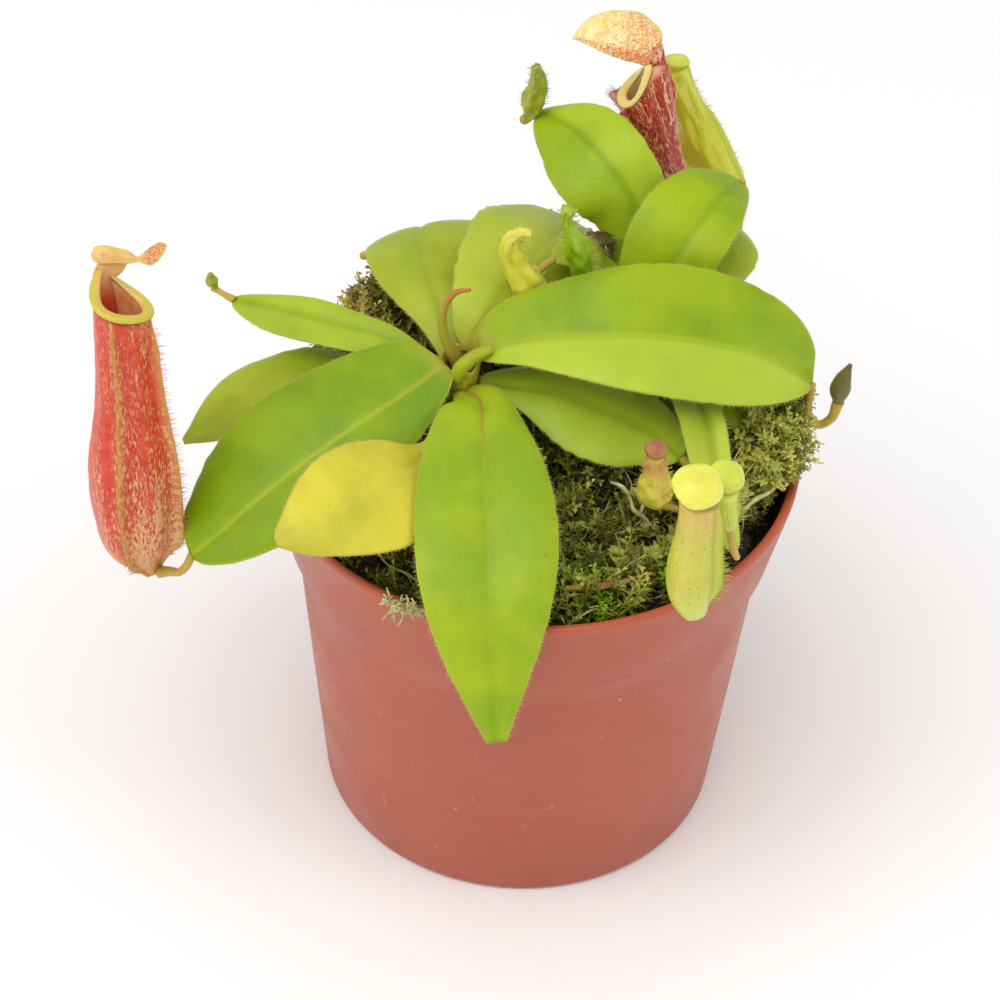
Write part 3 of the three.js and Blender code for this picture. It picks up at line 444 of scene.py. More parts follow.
colour = n.mix(n.band(n.noise(spot, 260, 5, 0.7), 0.35, 0.68), tone("0a0803"), tone("3a380e"))
finish(n, shader, colour, n.noise(spot, 620, 5, 0.75), 1.2)
moss.piece("moss_bed", bed, "moss", "moss")

LEAFLETS = 20
sprig = Shape()
stem_line = Line([(0, 0, 0), (0.04, 0.02, 0.35), (0.16, 0, 0.7), (0.34, 0.02, 1)])
tube(sprig, stem_line, [0.04, 0.035, 0.02], sides=3, steps=4)
for k in range(LEAFLETS):
    t = 0.08 + 0.92 * k / (LEAFLETS - 1)
    turn = k * 2.4
    root = stem_line.at(t)
    out = np.array([math.cos(turn), math.sin(turn), 0.2 + 0.9 * t])
    reach = 0.17 + 0.2 * math.sin(math.pi * min(t * 1.1, 1)) + 0.06 * math.sin(5 * k)
    wide = np.array([-math.sin(turn), math.cos(turn), 0]) * 0.05
    tip = root + unit(out) * reach + np.array([0, 0, -0.06])
    mid = lerp(root, tip, 0.45) + np.array([0, 0, 0.05])
    a, b, c, d, e = [sprig.point(p, t=t) for p in (root, mid + wide, tip, mid - wide, mid + (0, 0, -0.03))]
    sprig.faces += [(a, b, e), (b, c, e), (c, d, e), (d, a, e)]
del sprig.facts["flat"]

straw = Shape()
straw_line = Line([(0, 0, 0), (0.03, 0.05, 0.3), (-0.05, 0.12, 0.62), (0.08, 0.1, 1)])
rows = []
for i in range(11):
    t = i / 10
    up, side = square(np.array([0.3, 1, 0.2]), straw_line.along(t))
    wide = 0.5 * (1 - 0.75 * t) * (1 + 0.3 * math.sin(9 * t))
    at = straw_line.at(t)
    rows.append([straw.point(at + side * wide * u * 0.06 + up * abs(u) * 0.012, t=t) for u in (-1, 0, 1)])
straw.skin(rows, closed=False, capped=False)


def moss_look(name, low, mid, high):
    look, n, shader = material(name, 0.55, scatter=0.3)
    shade = n.fact("shade")
    colour = n.mix(n.band(shade, 0.0, 0.55), tone(low), tone(mid))
    colour = n.mix(n.band(shade, 0.5, 1.0), colour, tone(high))
    colour = n.mix(n.times(n.fact("t"), 0.2), colour, tone(high))
    finish(n, shader, colour)
    return look


live_moss = moss_look("moss_live", "303404", "868c14", "d4d05c")
dry_moss = moss_look("moss_dry", "8a7a30", "c8b860", "ece4a8")
green_moss = moss_look("moss_green", "5c8408", "86b00c", "b4d030")


CLEAR_OF_STEM, CLEAR_OF_LIP = 3, 40.6


def moss_spots(count, seed, sizes, lean, region=None, sink=0.6, thick=1.0):
    """Places all over the bed, or where region lets them, clear of the stems and of the lip."""
    dice = np.random.default_rng(seed)
    spots = []
    while len(spots) < count:
        turn, r = dice.random() * math.tau, CLEAR_OF_LIP * math.sqrt(dice.random())
        x, y = r * math.cos(turn), r * math.sin(turn)
        if region and not region(x, y, dice.random()):
            continue
        if any(math.hypot(x - sx, y - sy) < CLEAR_OF_STEM for sx, sy, _ in STEMS.values()):
            continue
        fall = 2.2 if r > 38.5 else 0
        way = np.array([dice.normal() * lean + x * 0.01, dice.normal() * lean + y * 0.01, 0.75])
        out = np.array([x, y, 0]) / r
        way -= out * max(0, np.dot(way, out)) * min(1, max(0, r - 30) / 6)
        size = lerp(*sizes, dice.random())
        clump = noise.noise((x * 0.22, y * 0.22, 5)) * 0.5 + 0.5
        on_mound = 0.5 * math.exp(-((x - 40) ** 2 + (y - 3) ** 2) / 200)
        shade = min(max(clump * 1.9 - 0.6 + on_mound + dice.normal() * 0.2, 0), 1)
        place = (x, y, max(moss_top(x, y) - sink - fall, 67))
        spots.append((place, way, dice.random() * 6.3, (size * thick, size * thick, size), shade))
    return spots


def mounded(x, y, luck):
    at_back = math.exp(-((x + 30) ** 2 + (y - 30) ** 2) / 200)
    at_right = math.exp(-((x - 40) ** 2 + (y - 3) ** 2) / 160)
    return luck < 0.28 + at_back + at_right


scatter("moss_sprigs", sprig, moss_spots(1500, 1, (2.6, 8.5), 0.9), live_moss, "moss")
scatter("moss_mound_sprigs", sprig, moss_spots(1000, 2, (3.5, 8), 0.7, region=mounded), live_moss, "moss")
scatter("moss_straws", straw, moss_spots(420, 4, (6, 13), 1.6, sink=0.2, thick=1.1), dry_moss, "moss")


def front_right(x, y, luck):
    return (x - 14) ** 2 / 260 + (y + 34) ** 2 / 30 < 1


def spilled(count, seed):
    """Sprigs that lean out over the lip at the right, on top of the mound there."""
    dice = np.random.default_rng(seed)
    spots = []
    for _ in range(count):
        turn = math.radians(lerp(-16, 26, dice.random()))
        r = lerp(37, 43.6, dice.random())
        high = lerp(75.2, 80, dice.random() * min(1, (46 - r) / 5))
        place = (r * math.cos(turn), r * math.sin(turn), high)
        way = np.array([0.5 + dice.normal() * 0.6, dice.normal() * 0.7, 0.8])
        size = lerp(2.5, 6, dice.random())
        spots.append((place, way, dice.random() * 6.3, (size, size, size), 0.35 + 0.65 * dice.random()))
    return spots


scatter("moss_spill_sprigs", sprig, spilled(330, 9), live_moss, "moss")


def banked(count, seed):
    """Sprigs on the steep outer face of the mound at the back left."""
    dice = np.random.default_rng(seed)
    spots = []
    for _ in range(count):
        turn = math.radians(lerp(98, 176, dice.random()))
        out = np.array([math.cos(turn), math.sin(turn), 0])
        x, y, _ = out * lerp(38.6, 40.4, dice.random())
        place = (x, y, lerp(67.5, moss_top(x, y) - 1, dice.random()))
        way = out * 0.25 + (dice.normal() * 0.5, dice.normal() * 0.5, 0.7)
        size = lerp(2.5, 5, dice.random())
        spots.append((place, way, dice.random() * 6.3, (size, size, size), 0.2 + 0.6 * dice.random()))
    return spots


scatter("moss_bank_sprigs", sprig, banked(380, 13), live_moss, "moss")
golden_moss = moss_look("moss_golden", "6c5c08", "b4a02c", "ecdc7c")


def back_left(x, y, luck):
    return luck < 1.4 * math.exp(-((x + 30) ** 2 + (y - 29) ** 2) / 110)


golden_spots = moss_spots(420, 11, (3.5, 8), 0.8, region=back_left, sink=-0.4)
scatter("moss_golden_sprigs", sprig, golden_spots, golden_moss, "moss")
green_spots = moss_spots(60, 6, (3.5, 6), 0.7, region=front_right, sink=0.4)
scatter("moss_green_sprigs", sprig, green_spots, green_moss, "moss")


# Two short stems, one behind the other, come up through the moss and narrow into their crowns. They
# are green and waxy with faint rings, browner at the top, where the feet of the leaves clasp them.
bark, n, shader = material("stem_green", 0.5)
spot = n.object_place()
rings = n.noise(n.stretched(spot, 1, 1, 5), 300, 3)
colour = n.mix(rings, tone("8f8c34"), tone("b0803c"))
high = n.add("ShaderNodeSeparateXYZ", {0: spot}).outputs[2]
colour = n.mix(n.times(n.band(high, 0.085, 0.092), 0.6), colour, tone("b4703c"))
finish(n, shader, colour, n.noise(spot, 700, 3), 0.2)
for name, high in (("front", 89.6), ("back", 88.6)):
    x, y, radius = STEMS[name]
    shape = Shape()
    heights = [60, 70, high - 6, high - 1.5, high]
    radii = [radius * share for share in (0.8, 1, 1, 0.9, 0.6)]
    tube(shape, Line([(x, y, z) for z in heights]), radii, sides=28, steps=60)
    shape.piece("stem_" + name + "_bark", bark, "stem", "stem_" + name)


# The leaves: stiff, waxy blades, whose feet clasp a stem. Each is folded and arched along its midrib,
# with a channel above and a keel below, and most run on into a tendril. flat holds millimetres along
# and across a blade, and edge and rib the millimetres to its margin and to its midrib.

# How pale a leaf's midrib is, below 0 for a groove darkened with painted shade, how far red runs along
# it, and how much painted light pales its left and right halves, below 0 for painted shade as a deeper green.
LEAF_MOODS = {
    "leaf_right_large": (0.5, 0.25, -0.15, 0.45),
    "leaf_left_large": (0.5, 0.35, -0.4, -0.35),
    "leaf_front": (0.3, 1.0, 0.1, 0.1),
    "leaf_yellow": (0.12, 0.4, -0.08, 0.0),
    "leaf_right_low": (0.5, 0.3, 0.4, 0.4),
    "leaf_back_left": (0.15, 0.1, 0.1, 0.0),
    "leaf_back_middle": (0.15, 0.1, 0.3, 0.0),
    "leaf_left_upper": (0.1, 0.1, 0.3, 0.3),
    "leaf_left_lower": (0.15, 0.4, 0.0, 0.0),
    "leaf_tall": (-0.35, 0.1, 0.1, 0.2),
    "leaf_upper_right": (-0.3, 0.15, 0.0, 0.0),
    "leaf_right_back": (0.0, 0.1, 0.2, 0.2),
    "leaf_folded": (0.25, 0.0, 0.6, 0.3),
}
LEAVES = [
    dict(
        name="leaf_right_large", stem="front", bearing=6, base=92.3, kind="leaf",
        rib=[[-1.5, 1, 95.5], [11.5, 0.5, 97.8], [26.5, 2.5, 95.5], [38.5, 4.5, 90.5], [46, 6.8, 83.6]],
        left=[12.6, 0.3, 0.46, 0.34, 4.2], right=[11.8, 0.08, 0.7, 0.8], arch=0.1, widest=0.58,
        face0=[0, -0.25, 1], face1=[0.2, -0.35, 1],
        tendril=[[45.9, 6.8, 80.8], [46, 6.6, 77.4], [48, 6.6, 74.9], [50, 6.8, 76.4], [50.6, 7, 78.8]],
    ),
    dict(
        name="leaf_left_large", stem="front", bearing=215, base=91, kind="leaf",
        rib=[
            [-22.2, -6.7, 88.6], [-30, -12.8, 86.3], [-37.8, -17.7, 82.4], [-45.6, -21.9, 77],
            [-50.1, -23.9, 73], [-55, -25.9, 69],
        ],
        left=[9.4, -0.26, 0.6, 0.6], right=[13.8, 0.3, 0.33, 0.44], arch=0.1, widest=0.52,
        face0=[0, 0, 1], face1=[-0.5, -0.35, 1],
        tendril=[[-55.8, -25.6, 66.6], [-57.2, -24.8, 64.2], [-58.9, -23.6, 63.1], [-59.9, -23, 62.4]],
    ),
    dict(
        name="leaf_front", stem="front", bearing=284, base=86.6, kind="leaf",
        rib=[
            [-9.2, -6, 87.9], [-8.4, -16, 89.2], [-7, -32, 86], [-6, -44.4, 79], [-5, -51.4, 68.4],
            [-4, -55.5, 59.5],
        ],
        left=[11.2, 0.2, 0.9, 1.1], right=[11.8, 0.34, 0.8, 1.1], arch=0.24, widest=0.5, ends=[2.2, 1.7],
        face0=[0, -0.15, 1], face1=[0.05, -1, 0.7],
    ),
    dict(
        name="leaf_yellow", stem="front", bearing=255, base=83.4, kind="old_leaf",
        rib=[
            [-14.8, -9.6, 84], [-16.2, -16.4, 85.6], [-20.8, -24.4, 88], [-26.6, -31.4, 89.2],
            [-34.7, -38, 88.2], [-39.9, -40.5, 86.8],
        ],
        left=[9.8, -0.3, 2.2, 1.0], right=[9.9, 0.34, 1.8, 0.8], arch=0.12, widest=0.64, ends=[1.3, 0.7],
        face0=[-0.2, 0, 1], face1=[0, -0.2, 1], wave=[0.5, 2.4, 1],
    ),
    dict(
        name="leaf_right_low", stem="front", bearing=350, base=86, kind="leaf",
        rib=[[2.5, -1.5, 86.3], [11, -3.5, 84.8], [19, -5.5, 82.2], [24.4, -8.6, 79.6]],
        left=[9, 0.1, 0.6, 0.7], right=[9.6, 0.02, 1.4, 0.7], arch=0.2, widest=0.58,
        face0=[0, -0.1, 1], face1=[0.3, -0.3, 1],
        tendril=[[26.8, -11.6, 77.6], [27.6, -16, 77.4], [25.4, -19.8, 78.2], [21.5, -21.2, 80.5]],
        cord=[0.7, 0.6, 0.5, 0.5],
    ),
    dict(
        name="leaf_back_left", stem="front", bearing=118, base=88.4, kind="shaded_leaf",
        rib=[[-16.2, 11, 92.6], [-19.4, 21, 94.2], [-20.6, 33, 92.2], [-20.6, 41.4, 85]],
        left=[9.8, 0.1, 0.7, 0.5], right=[9.8, 0.1, 0.7, 0.5], arch=0.2, widest=0.64,
        face0=[0, -0.3, 1], face1=[-0.35, 0.6, 1],
        tendril=[[-22, 45, 80.6], [-25, 46.6, 77.4], [-28.6, 44, 77], [-30.4, 41, 79.4]],
        cord=[0.7, 0.6, 0.5, 0.5],
    ),
    dict(
        name="leaf_back_middle", stem="front", bearing=52, base=90.4, kind="shaded_leaf",
        rib=[[-8.6, 6.8, 94.6], [-4.4, 15.4, 97], [1.4, 27, 96], [5.6, 36, 92], [8.2, 40.4, 87.4]],
        left=[12.4, 0.3, 0.5, 0.5], right=[7.6, -0.1, 0.9, 0.6], arch=0.14, widest=0.6,
        face0=[0, -0.25, 1], face1=[0, 0.3, 1],
        tendril=[[8.4, 43.6, 83], [7, 46, 79.4], [4.4, 46.6, 78.6], [2.6, 46.4, 80.6]],
        cord=[0.7, 0.6, 0.5, 0.6],
    ),
    dict(
        name="leaf_left_upper", stem="front", bearing=168, base=86.4, kind="leaf",
        rib=[[-24.5, 6.4, 89.6], [-33, 8.8, 90.4], [-41.5, 12.5, 89.6], [-51.4, 18.6, 86.6]],
        left=[5.4, 0.2, 0.8, 0.7], right=[3.6, 0.1, 1.4, 0.7], arch=0.1, widest=0.58,
        face0=[0, -0.3, 1], face1=[-0.1, -0.3, 1],
        tendril=[[-53.2, 19.8, 86.7], [-54.3, 20.4, 87]], cord=[0.7, 0.55, 0.45, 0.45],
    ),
    dict(
        name="leaf_left_lower", stem="front", bearing=188, base=82.6, kind="shaded_leaf",
        rib=[
            [-27.5, 0.6, 83.4], [-36, -0.6, 83.8], [-45.4, -2.6, 82.6], [-53.5, -5.4, 79.4],
            [-58, -6.8, 77],
        ],
        left=[7.4, 0.05, 0.6, 1.1], right=[10.6, 0.1, 0.6, 1.15], arch=0.14, widest=0.58, ends=[1.9, 0.6],
        face0=[0, -0.1, 1], face1=[-0.2, -0.1, 1], wave=[0.6, 2.2, 2],
    ),
    dict(
        name="leaf_back_narrow", stem="front", bearing=92, base=84.4, kind="leaf",
        rib=[[-12.6, 12, 86.4], [-12, 22, 86.6], [-11, 31, 84.4]],
        left=[3.6, 0.25, 0.8, 0.8], right=[3.6, 0.25, 0.8, 0.8], arch=0.1, widest=0.52,
        face0=[0, -0.2, 1],
        tendril=[[-10.2, 34.4, 83], [-9.8, 36.4, 83.6], [-9.8, 37, 85.8]], cord=[0.6, 0.5, 0.5, 0.6],
    ),
    dict(
        name="leaf_tall", stem="back", bearing=95, base=87.6, kind="leaf",
        rib=[
            [17, 26.6, 95], [15.2, 29.4, 102.4], [10.5, 32.6, 107.8], [5.2, 39.4, 109.4],
            [-1.4, 46.6, 107.8],
        ],
        left=[9.4, 0.16, 0.45, 0.7], right=[7.4, 0, 0.9, 0.9], arch=0.14, widest=0.6, ends=[1.2, 0.8],
        face0=[-0.3, -1, 0.45], face1=[-0.2, -0.6, 1],
        tendril=[[-2.6, 47.4, 106.2], [-3.4, 47.4, 105.6], [-3.6, 46.6, 106.2]], cord=[0.65, 0.5, 0.5, 0.6],
    ),
    dict(
        name="leaf_upper_right", stem="back", bearing=292, base=86.8, kind="leaf",
        rib=[[18.9, 17.2, 90], [21, 18, 96.6], [24.8, 21.6, 102.4], [29.2, 28.4, 104.8], [33.4, 36.4, 102.6]],
        left=[9.8, 0.12, 0.8, 0.6], right=[6.4, 0.1, 0.8, 0.6], arch=0.14, widest=0.5, ends=[1.2, 0.8],
        face0=[0.1, -1, 0.7], face1=[0.1, -0.4, 1],
        tendril=[
            [34, 41, 98.6], [34.6, 47, 90.4], [34.8, 50.4, 82], [34.6, 53, 75.6], [33, 55.6, 75.2],
            [32.5, 56.4, 77.1],
        ],
        cord=[0.7, 0.55, 0.55, 0.55, 0.6],
    ),
    dict(
        name="leaf_right_back", stem="back", bearing=32, base=81.6, kind="shaded_leaf",
        rib=[[22.8, 28, 88.6], [28, 33, 91.2], [31.8, 37, 91.8], [33.8, 40, 89.8]],
        left=[4.6, 0.1, 0.8, 0.6], right=[9.6, 0.1, 0.5, 0.6], arch=0.16, widest=0.6,
        face0=[0.1, -0.1, 1], face1=[0.2, 0, 1],
    ),
    dict(
        name="leaf_folded", stem="back", bearing=290, base=83.4, kind="shaded_leaf",
        rib=[
            [20.4, 10.6, 86.4], [25.8, 0, 87], [28.2, -7.8, 86.2], [29.4, -14.4, 84.3], [31, -22.3, 81],
            [32.6, -28.8, 78.2],
        ],
        left=[2.9, 0.2, 1.8, 0.5], right=[4.8, 0.5, 0.9, 0.9], arch=0.06, widest=0.54,
        face0=[0.1, -0.1, 1], face1=[-0.1, -0.4, 1],
        tendril=[[33, -31.2, 79.2], [32.6, -33.6, 82], [31.6, -36.4, 87], [30.9, -37.5, 91.1]],
        cord=[0.6, 0.5, 0.5, 0.5],
    ),
    dict(
        name="leaf_right_hidden", stem="back", bearing=332, base=80.8, kind="shaded_leaf",
        rib=[[23, 14.6, 83.4], [29.4, 7.4, 84], [33.4, 2, 82.4], [35.2, -1.4, 80.2]],
        left=[6.6, 0.1, 0.8, 0.6], right=[7.6, 0.1, 0.8, 0.6], arch=0.16, widest=0.6,
        face0=[0, 0, 1], face1=[0.2, -0.1, 1],
    ),
    dict(
        name="leaf_under", stem="back", bearing=262, base=79.4, kind="shaded_leaf",
        rib=[[16.4, 10, 79.8], [21, 1, 79.2], [26, -7.4, 76.6]],
        left=[3.6, 0.15, 0.8, 0.8], right=[3.6, 0.15, 0.8, 0.8], arch=0.1, widest=0.5,
        face0=[0, 0, 1],
        tendril=[
            [29.6, -17, 75.4], [30, -28, 75.4], [28.6, -38, 76.2], [26.4, -43.2, 77.8],
            [25.9, -44.5, 79.7],
        ],
        cord=[0.6, 0.5, 0.5, 0.5],
    ),
    dict(
        name="leaf_back", stem="back", bearing=108, base=83.6, kind="shaded_leaf",
        rib=[[14.8, 32, 87.6], [15, 42, 89.4], [15.6, 52, 86.4], [17.6, 58.6, 80.6]],
        left=[4.6, 0.15, 0.8, 0.7], right=[4.4, 0.15, 0.8, 0.7], arch=0.16, widest=0.58,
        face0=[0, -0.2, 1], face1=[0.1, 0.5, 1],
        tendril=[
            [19.4, 60.8, 76.6], [22.6, 60.4, 73.4], [25.8, 56.6, 73], [26.8, 52, 76], [26.3, 49.2, 81],
            [26.1, 48.4, 83.8],
        ],
    ),
    dict(
        name="leaf_short_left", stem="back", bearing=196, base=87.2, kind="shaded_leaf",
        rib=[[10.2, 20, 95], [6, 19.2, 99.3], [2, 16.6, 100]],
        left=[5, 0.1, 1.2, 0.8], right=[4.4, 0.1, 1.2, 0.8], arch=0.1, widest=0.6, ends=[0.9, 0.8],
        face0=[-0.5, -0.1, 1], face1=[0, -0.2, 1],
        tendril=[[-0.2, 14.8, 99.2], [-1.6, 13.2, 98.2], [-2.3, 12.3, 98]], cord=[0.6, 0.55, 0.55, 0.6],
    ),
    dict(
        name="leaf_short_back", stem="back", bearing=232, base=81.6, kind="leaf",
        rib=[[12.4, 17, 87], [9.6, 15.6, 92]],
        left=[2, 0.2, 1.2, 0.8], right=[2, 0.2, 1.2, 0.8], arch=0.1, widest=0.55, ends=[0.9, 0.8],
        face0=[-0.8, -0.6, 1], face1=[-0.8, -0.6, 1],
        tendril=[[7.8, 15, 95.4], [6.5, 15, 97.4], [6.1, 15, 98.8]], cord=[0.6, 0.5, 0.5, 0.6],
    ),
]


def side_width(leaf, side, t):
    base, tip = leaf.get("ends", (1.9, 0.8))
    base = side[4] if len(side) > 4 else base
    ends = lerp(base, tip, t)
    swell = math.sin(math.pi * t ** (math.log(0.5) / math.log(leaf.get("widest", 0.55))))
    return ends + (side[0] - ends) * max(swell, 0) ** lerp(side[2], side[3], t)


class Blade:
    """Places on a leaf: t runs from its base to its tip, s from its left to its right margin."""

    def __init__(self, leaf):
        self.leaf = leaf
        x, y, radius = STEMS[leaf["stem"]]
        turn = math.radians(leaf["bearing"])
        reach = radius + 0.8
        foot = [x + reach * math.cos(turn), y + reach * math.sin(turn), leaf["base"]]
        self.line = Line([foot] + leaf["rib"])
        self.size, self.count, self.phase = leaf.get("wave", (0.3, 2, 0))
        self.seed = sum(ord(c) for c in leaf["name"])

    def frame(self, t):
        along = self.line.along(t)
        face0 = np.array(self.leaf["face0"], float)
        face1 = np.array(self.leaf.get("face1", self.leaf["face0"]), float)
        up, _ = square(lerp(face0, face1, t), along)
        return self.line.at(t), along, up, np.cross(along, up)

    def width(self, t, s):
        width = side_width(self.leaf, self.leaf["left" if s < 0 else "right"], t)
        ragged = 0.05 * noise.noise((t * 26, self.seed + math.copysign(3, s), 0))
        return width * (1 + ragged * min(1, width / 6) * 0.5)

    def spot(self, t, s, lift=0.0):
        at, _, up, side = self.frame(t)
        width = self.width(t, s)
        fold = self.leaf["left" if s < 0 else "right"][1]
        beat = math.sin(math.tau * self.count * t + self.phase + (1.3 if s < 0 else 0))
        height = width * abs(s) * (fold - self.leaf["arch"] * abs(s))
        height += self.size * beat * s * s * min(1, width / 4)
        return at + side * width * s + up * (height + lift)


def clasp(blade, s, share, out):
    """A point of the leaf's foot, which wraps round its stem below the blade and opens into it."""
    x, y, radius = STEMS[blade.leaf["stem"]]
    turn = math.radians(blade.leaf["bearing"] - s * 88)
    reach = radius + out
    on_stem = np.array([x + reach * math.cos(turn), y + reach * math.sin(turn), blade.leaf["base"] - 2.2])
    return lerp(on_stem, blade.spot(0, s, 0.3 - out), share * share * (3 - 2 * share))


def leaf_shape(leaf, steps=64, half=13):
    blade = Blade(leaf)
    shape = Shape()
    pale, warm, *lit = LEAF_MOODS.get(leaf["name"], (0.5, 0.3, 0.0, 0.0))
    across = [math.sin(k / half * math.pi / 2) * 0.6 + k / half * 0.4 for k in range(-half, half + 1)]
    rows = []
    for share in (0, 0.2, 0.4, 0.6, 0.8):
        row = []
        for under in (0, 1):
            for s in reversed(across) if under else across:
                width = lerp(3, blade.width(0, s), share)
                place = clasp(blade, s, share, 0.42 if under else 0.12)
                flat = (share * 3 - 3, s * width, blade.seed * 0.37)
                facts = {"rib": abs(s) * width + 0.4, "edge": (1 - abs(s)) * width, "under": float(under)}
                facts.update(lit=0.0, pale=pale, warm=warm)
                row.append(shape.point(place, flat=flat, t=0.02 * share - 0.02, **facts))
        rows.append(row)
    for i in range(steps + 1):
        t = i / steps
        row = []
        for under in (0, 1):
            for s in reversed(across) if under else across:
                width = blade.width(t, s)
                gap = abs(s) * width
                thin = 0.1 + 0.24 * min(1, (width - gap) / 1.2 + 0.05)
                if under:
                    lift = -thin - 0.75 * math.exp(-((gap / 0.75) ** 2)) * (1 - 0.5 * t)
                else:
                    relief = noise.noise((t * blade.line.length * 0.16, s * width * 0.2, blade.seed))
                    lift = thin - 0.3 * math.exp(-((gap / 0.7) ** 2)) + 0.16 * relief * min(1, width / 5)
                flat = (t * blade.line.length, s * width, blade.seed * 0.37)
                facts = {"rib": gap, "edge": width - gap, "under": float(under)}
                # Painted light and shade on each half of the blade, growing out from the midrib.
                facts.update(lit=lit[0 if s < 0 else 1] * min(1, gap / 1.2), pale=pale, warm=warm)
                row.append(shape.point(blade.spot(t, s, lift), flat=flat, t=t, **facts))
        rows.append(row)
    shape.skin(rows)
    if "tendril" in leaf:
        line = Line([leaf["rib"][-1]] + leaf["tendril"])
        cord = leaf.get("cord", [0.7, 0.6, 0.6, 0.7])
        end = line.at(1) + line.along(1) * 1.1
        line = Line([leaf["rib"][-1]] + leaf["tendril"][:-1] + [list(line.at(1)), list(end)])
        cord = [cord[0]] + [c * 1.15 for c in cord[1:]] + [cord[-1] * 1.5]
        facts = {"rib": 0.0, "edge": 3.0, "under": 0.0, "lit": 0.0, "pale": pale, "warm": warm}
        tube(shape, line, cord, steps=44, up=blade.frame(1)[2], tendril=1.0, **facts)
    return blade, shape


def leaf_look(name, light, deep, margin, rib, gloss):
    """Waxy leaf tissue: clouded green, thin warm margin, midrib that reddens to its base, faint veins."""
    look, n, shader = material(name, gloss, coat=0.04, scatter=0.15)
    shader.inputs["Specular IOR Level"].default_value = 0.28
    flat = n.place()
    t, side_gap, edge, under = n.fact("t"), n.fact("rib"), n.fact("edge"), n.fact("under")
    pale, warm = n.fact("pale"), n.fact("warm")
    clouds = n.band(n.noise(flat, 0.075, 3, 0.5), 0.34, 0.68)
    colour = n.mix(clouds, tone(deep), tone(light))
    fine = n.band(n.noise(n.stretched(flat, 0.5, 1.2), 0.9, 3, 0.6), 0.3, 0.75)
    colour = n.mix(n.times(fine, 0.16), colour, tone(light))
    slant = n.add("ShaderNodeCombineXYZ")
    split = n.add("ShaderNodeSeparateXYZ", {0: flat}).outputs
    slope = n.math("SUBTRACT", split[0], n.math("MULTIPLY", n.math("ABSOLUTE", split[1]), 0.6))
    n.put(slant, 0, slope)
    n.put(slant, 1, n.math("MULTIPLY", split[1], 0.12))
    veins = n.band(n.noise(slant.outputs[0], 1.1, 2, 0.5), 0.45, 0.65)
    colour = n.mix(n.times(veins, 0.06), colour, tone(deep))
    bruise = n.band(n.noise(n.stretched(flat, 0.7, 1.0), 0.19, 3, 0.6), 0.64, 0.74)
    colour = n.mix(n.times(bruise, 0.22), colour, tone("b8a43c"))
    specks = n.band(n.cells(flat, 0.42), 0.09, 0.05)
    rare = n.band(n.noise(flat, 0.31, 1), 0.6, 0.66)
    colour = n.mix(n.times(specks, rare, 0.45), colour, tone("7a6a24"))
    # Painted light: one half of the blade is mixed paler, and a negative value paints shade as a deeper
    # green.
    colour = n.mix(n.fact("lit"), colour, tone("c6d84c"))
    painted_shade = n.math("MAXIMUM", n.math("MULTIPLY", n.fact("lit"), -1.0), 0.0)
    colour = n.mix(painted_shade, colour, tone("5c8a00"))
    near_rib = n.times(n.band(side_gap, 0.62, 0.1), n.band(t, 1.0, 0.7, 0.5, 1.0))
    colour = n.mix(n.times(near_rib, n.math("MAXIMUM", pale, 0.0)), colour, tone(rib))
    # Painted shade: a negative pale darkens the channel along the midrib.
    painted_groove_shade = n.math("MAXIMUM", n.math("MULTIPLY", pale, -1.0), 0.0)
    colour = n.mix(n.times(n.band(side_gap, 1.1, 0.2), painted_groove_shade), colour, tone("6c9416"))
    red = n.times(n.band(t, 0.36, 0.04), n.band(side_gap, 0.5, 0.16), warm)
    colour = n.mix(n.times(red, 0.75), colour, tone("a8703c"))
    axil = n.times(n.band(t, 0.06, -0.01), 0.55)
    colour = n.mix(axil, colour, tone("b9a04a"))
    foot = n.band(t, -0.006, -0.02)
    colour = n.mix(n.times(foot, 0.5), colour, tone("a8743c"))
    rim = n.band(edge, 0.36, 0.12)
    colour = n.mix(n.times(rim, 0.5), colour, tone(margin))
    frayed = n.times(n.band(edge, 0.26, 0.08), n.band(n.noise(flat, 0.3, 2), 0.5, 0.62))
    colour = n.mix(n.times(frayed, 0.3), colour, tone("b4803a"))
    colour = n.mix(n.times(under, 0.4), colour, tone("a4b044"))
    twist = n.fact("tendril")
    cord = n.mix(n.noise(flat, 0.6), tone("a8a03a"), tone("cfa24c"))
    colour = n.mix(twist, colour, cord)
    grain = n.noise(flat, 3.2, 2)
    height = n.math("ADD", n.times(grain, 0.25), n.times(veins, -0.35))
    shine = n.band(n.noise(flat, 0.5, 2), 0.3, 0.7, gloss - 0.05, gloss + 0.09)
    finish(n, shader, colour, height, 0.05, shine)
    return look


LEAF_LOOKS = {
    "leaf": leaf_look("leaf_fresh", "a2b804", "80a000", "b4bc30", "b2bc34", 0.42),
    "shaded_leaf": leaf_look("leaf_shaded", "a8b428", "8ea012", "a8ae38", "aab43c", 0.42),
    "old_leaf": leaf_look("leaf_old", "dcd03c", "c0b834", "c8a048", "ccc05c", 0.44),
}


# Fine hairs, thicker at the root: a bent, three-sided spike one unit long.
hair = Shape()
hair_rows = []
for z, r, bend in ((0, 1, 0), (0.4, 0.7, 0.03), (0.75, 0.4, 0.1)):
    turns = [math.tau * k / 3 for k in range(3)]
    hair_rows.append([hair.point((r * math.cos(a) + bend * 8, r * math.sin(a), z)) for a in turns])
hair.skin(hair_rows, capped=False)
tip = hair.point((1.6, 0, 1))
hair.faces += [(hair_rows[-1][k], hair_rows[-1][(k + 1) % 3], tip) for k in range(3)]


def hair_look(name, colour, far):
    look, n, shader = material(name, 0.45)
    shade = n.fact("shade")
    finish(n, shader, n.mix(shade, tone(colour), tone(far)))
    return look


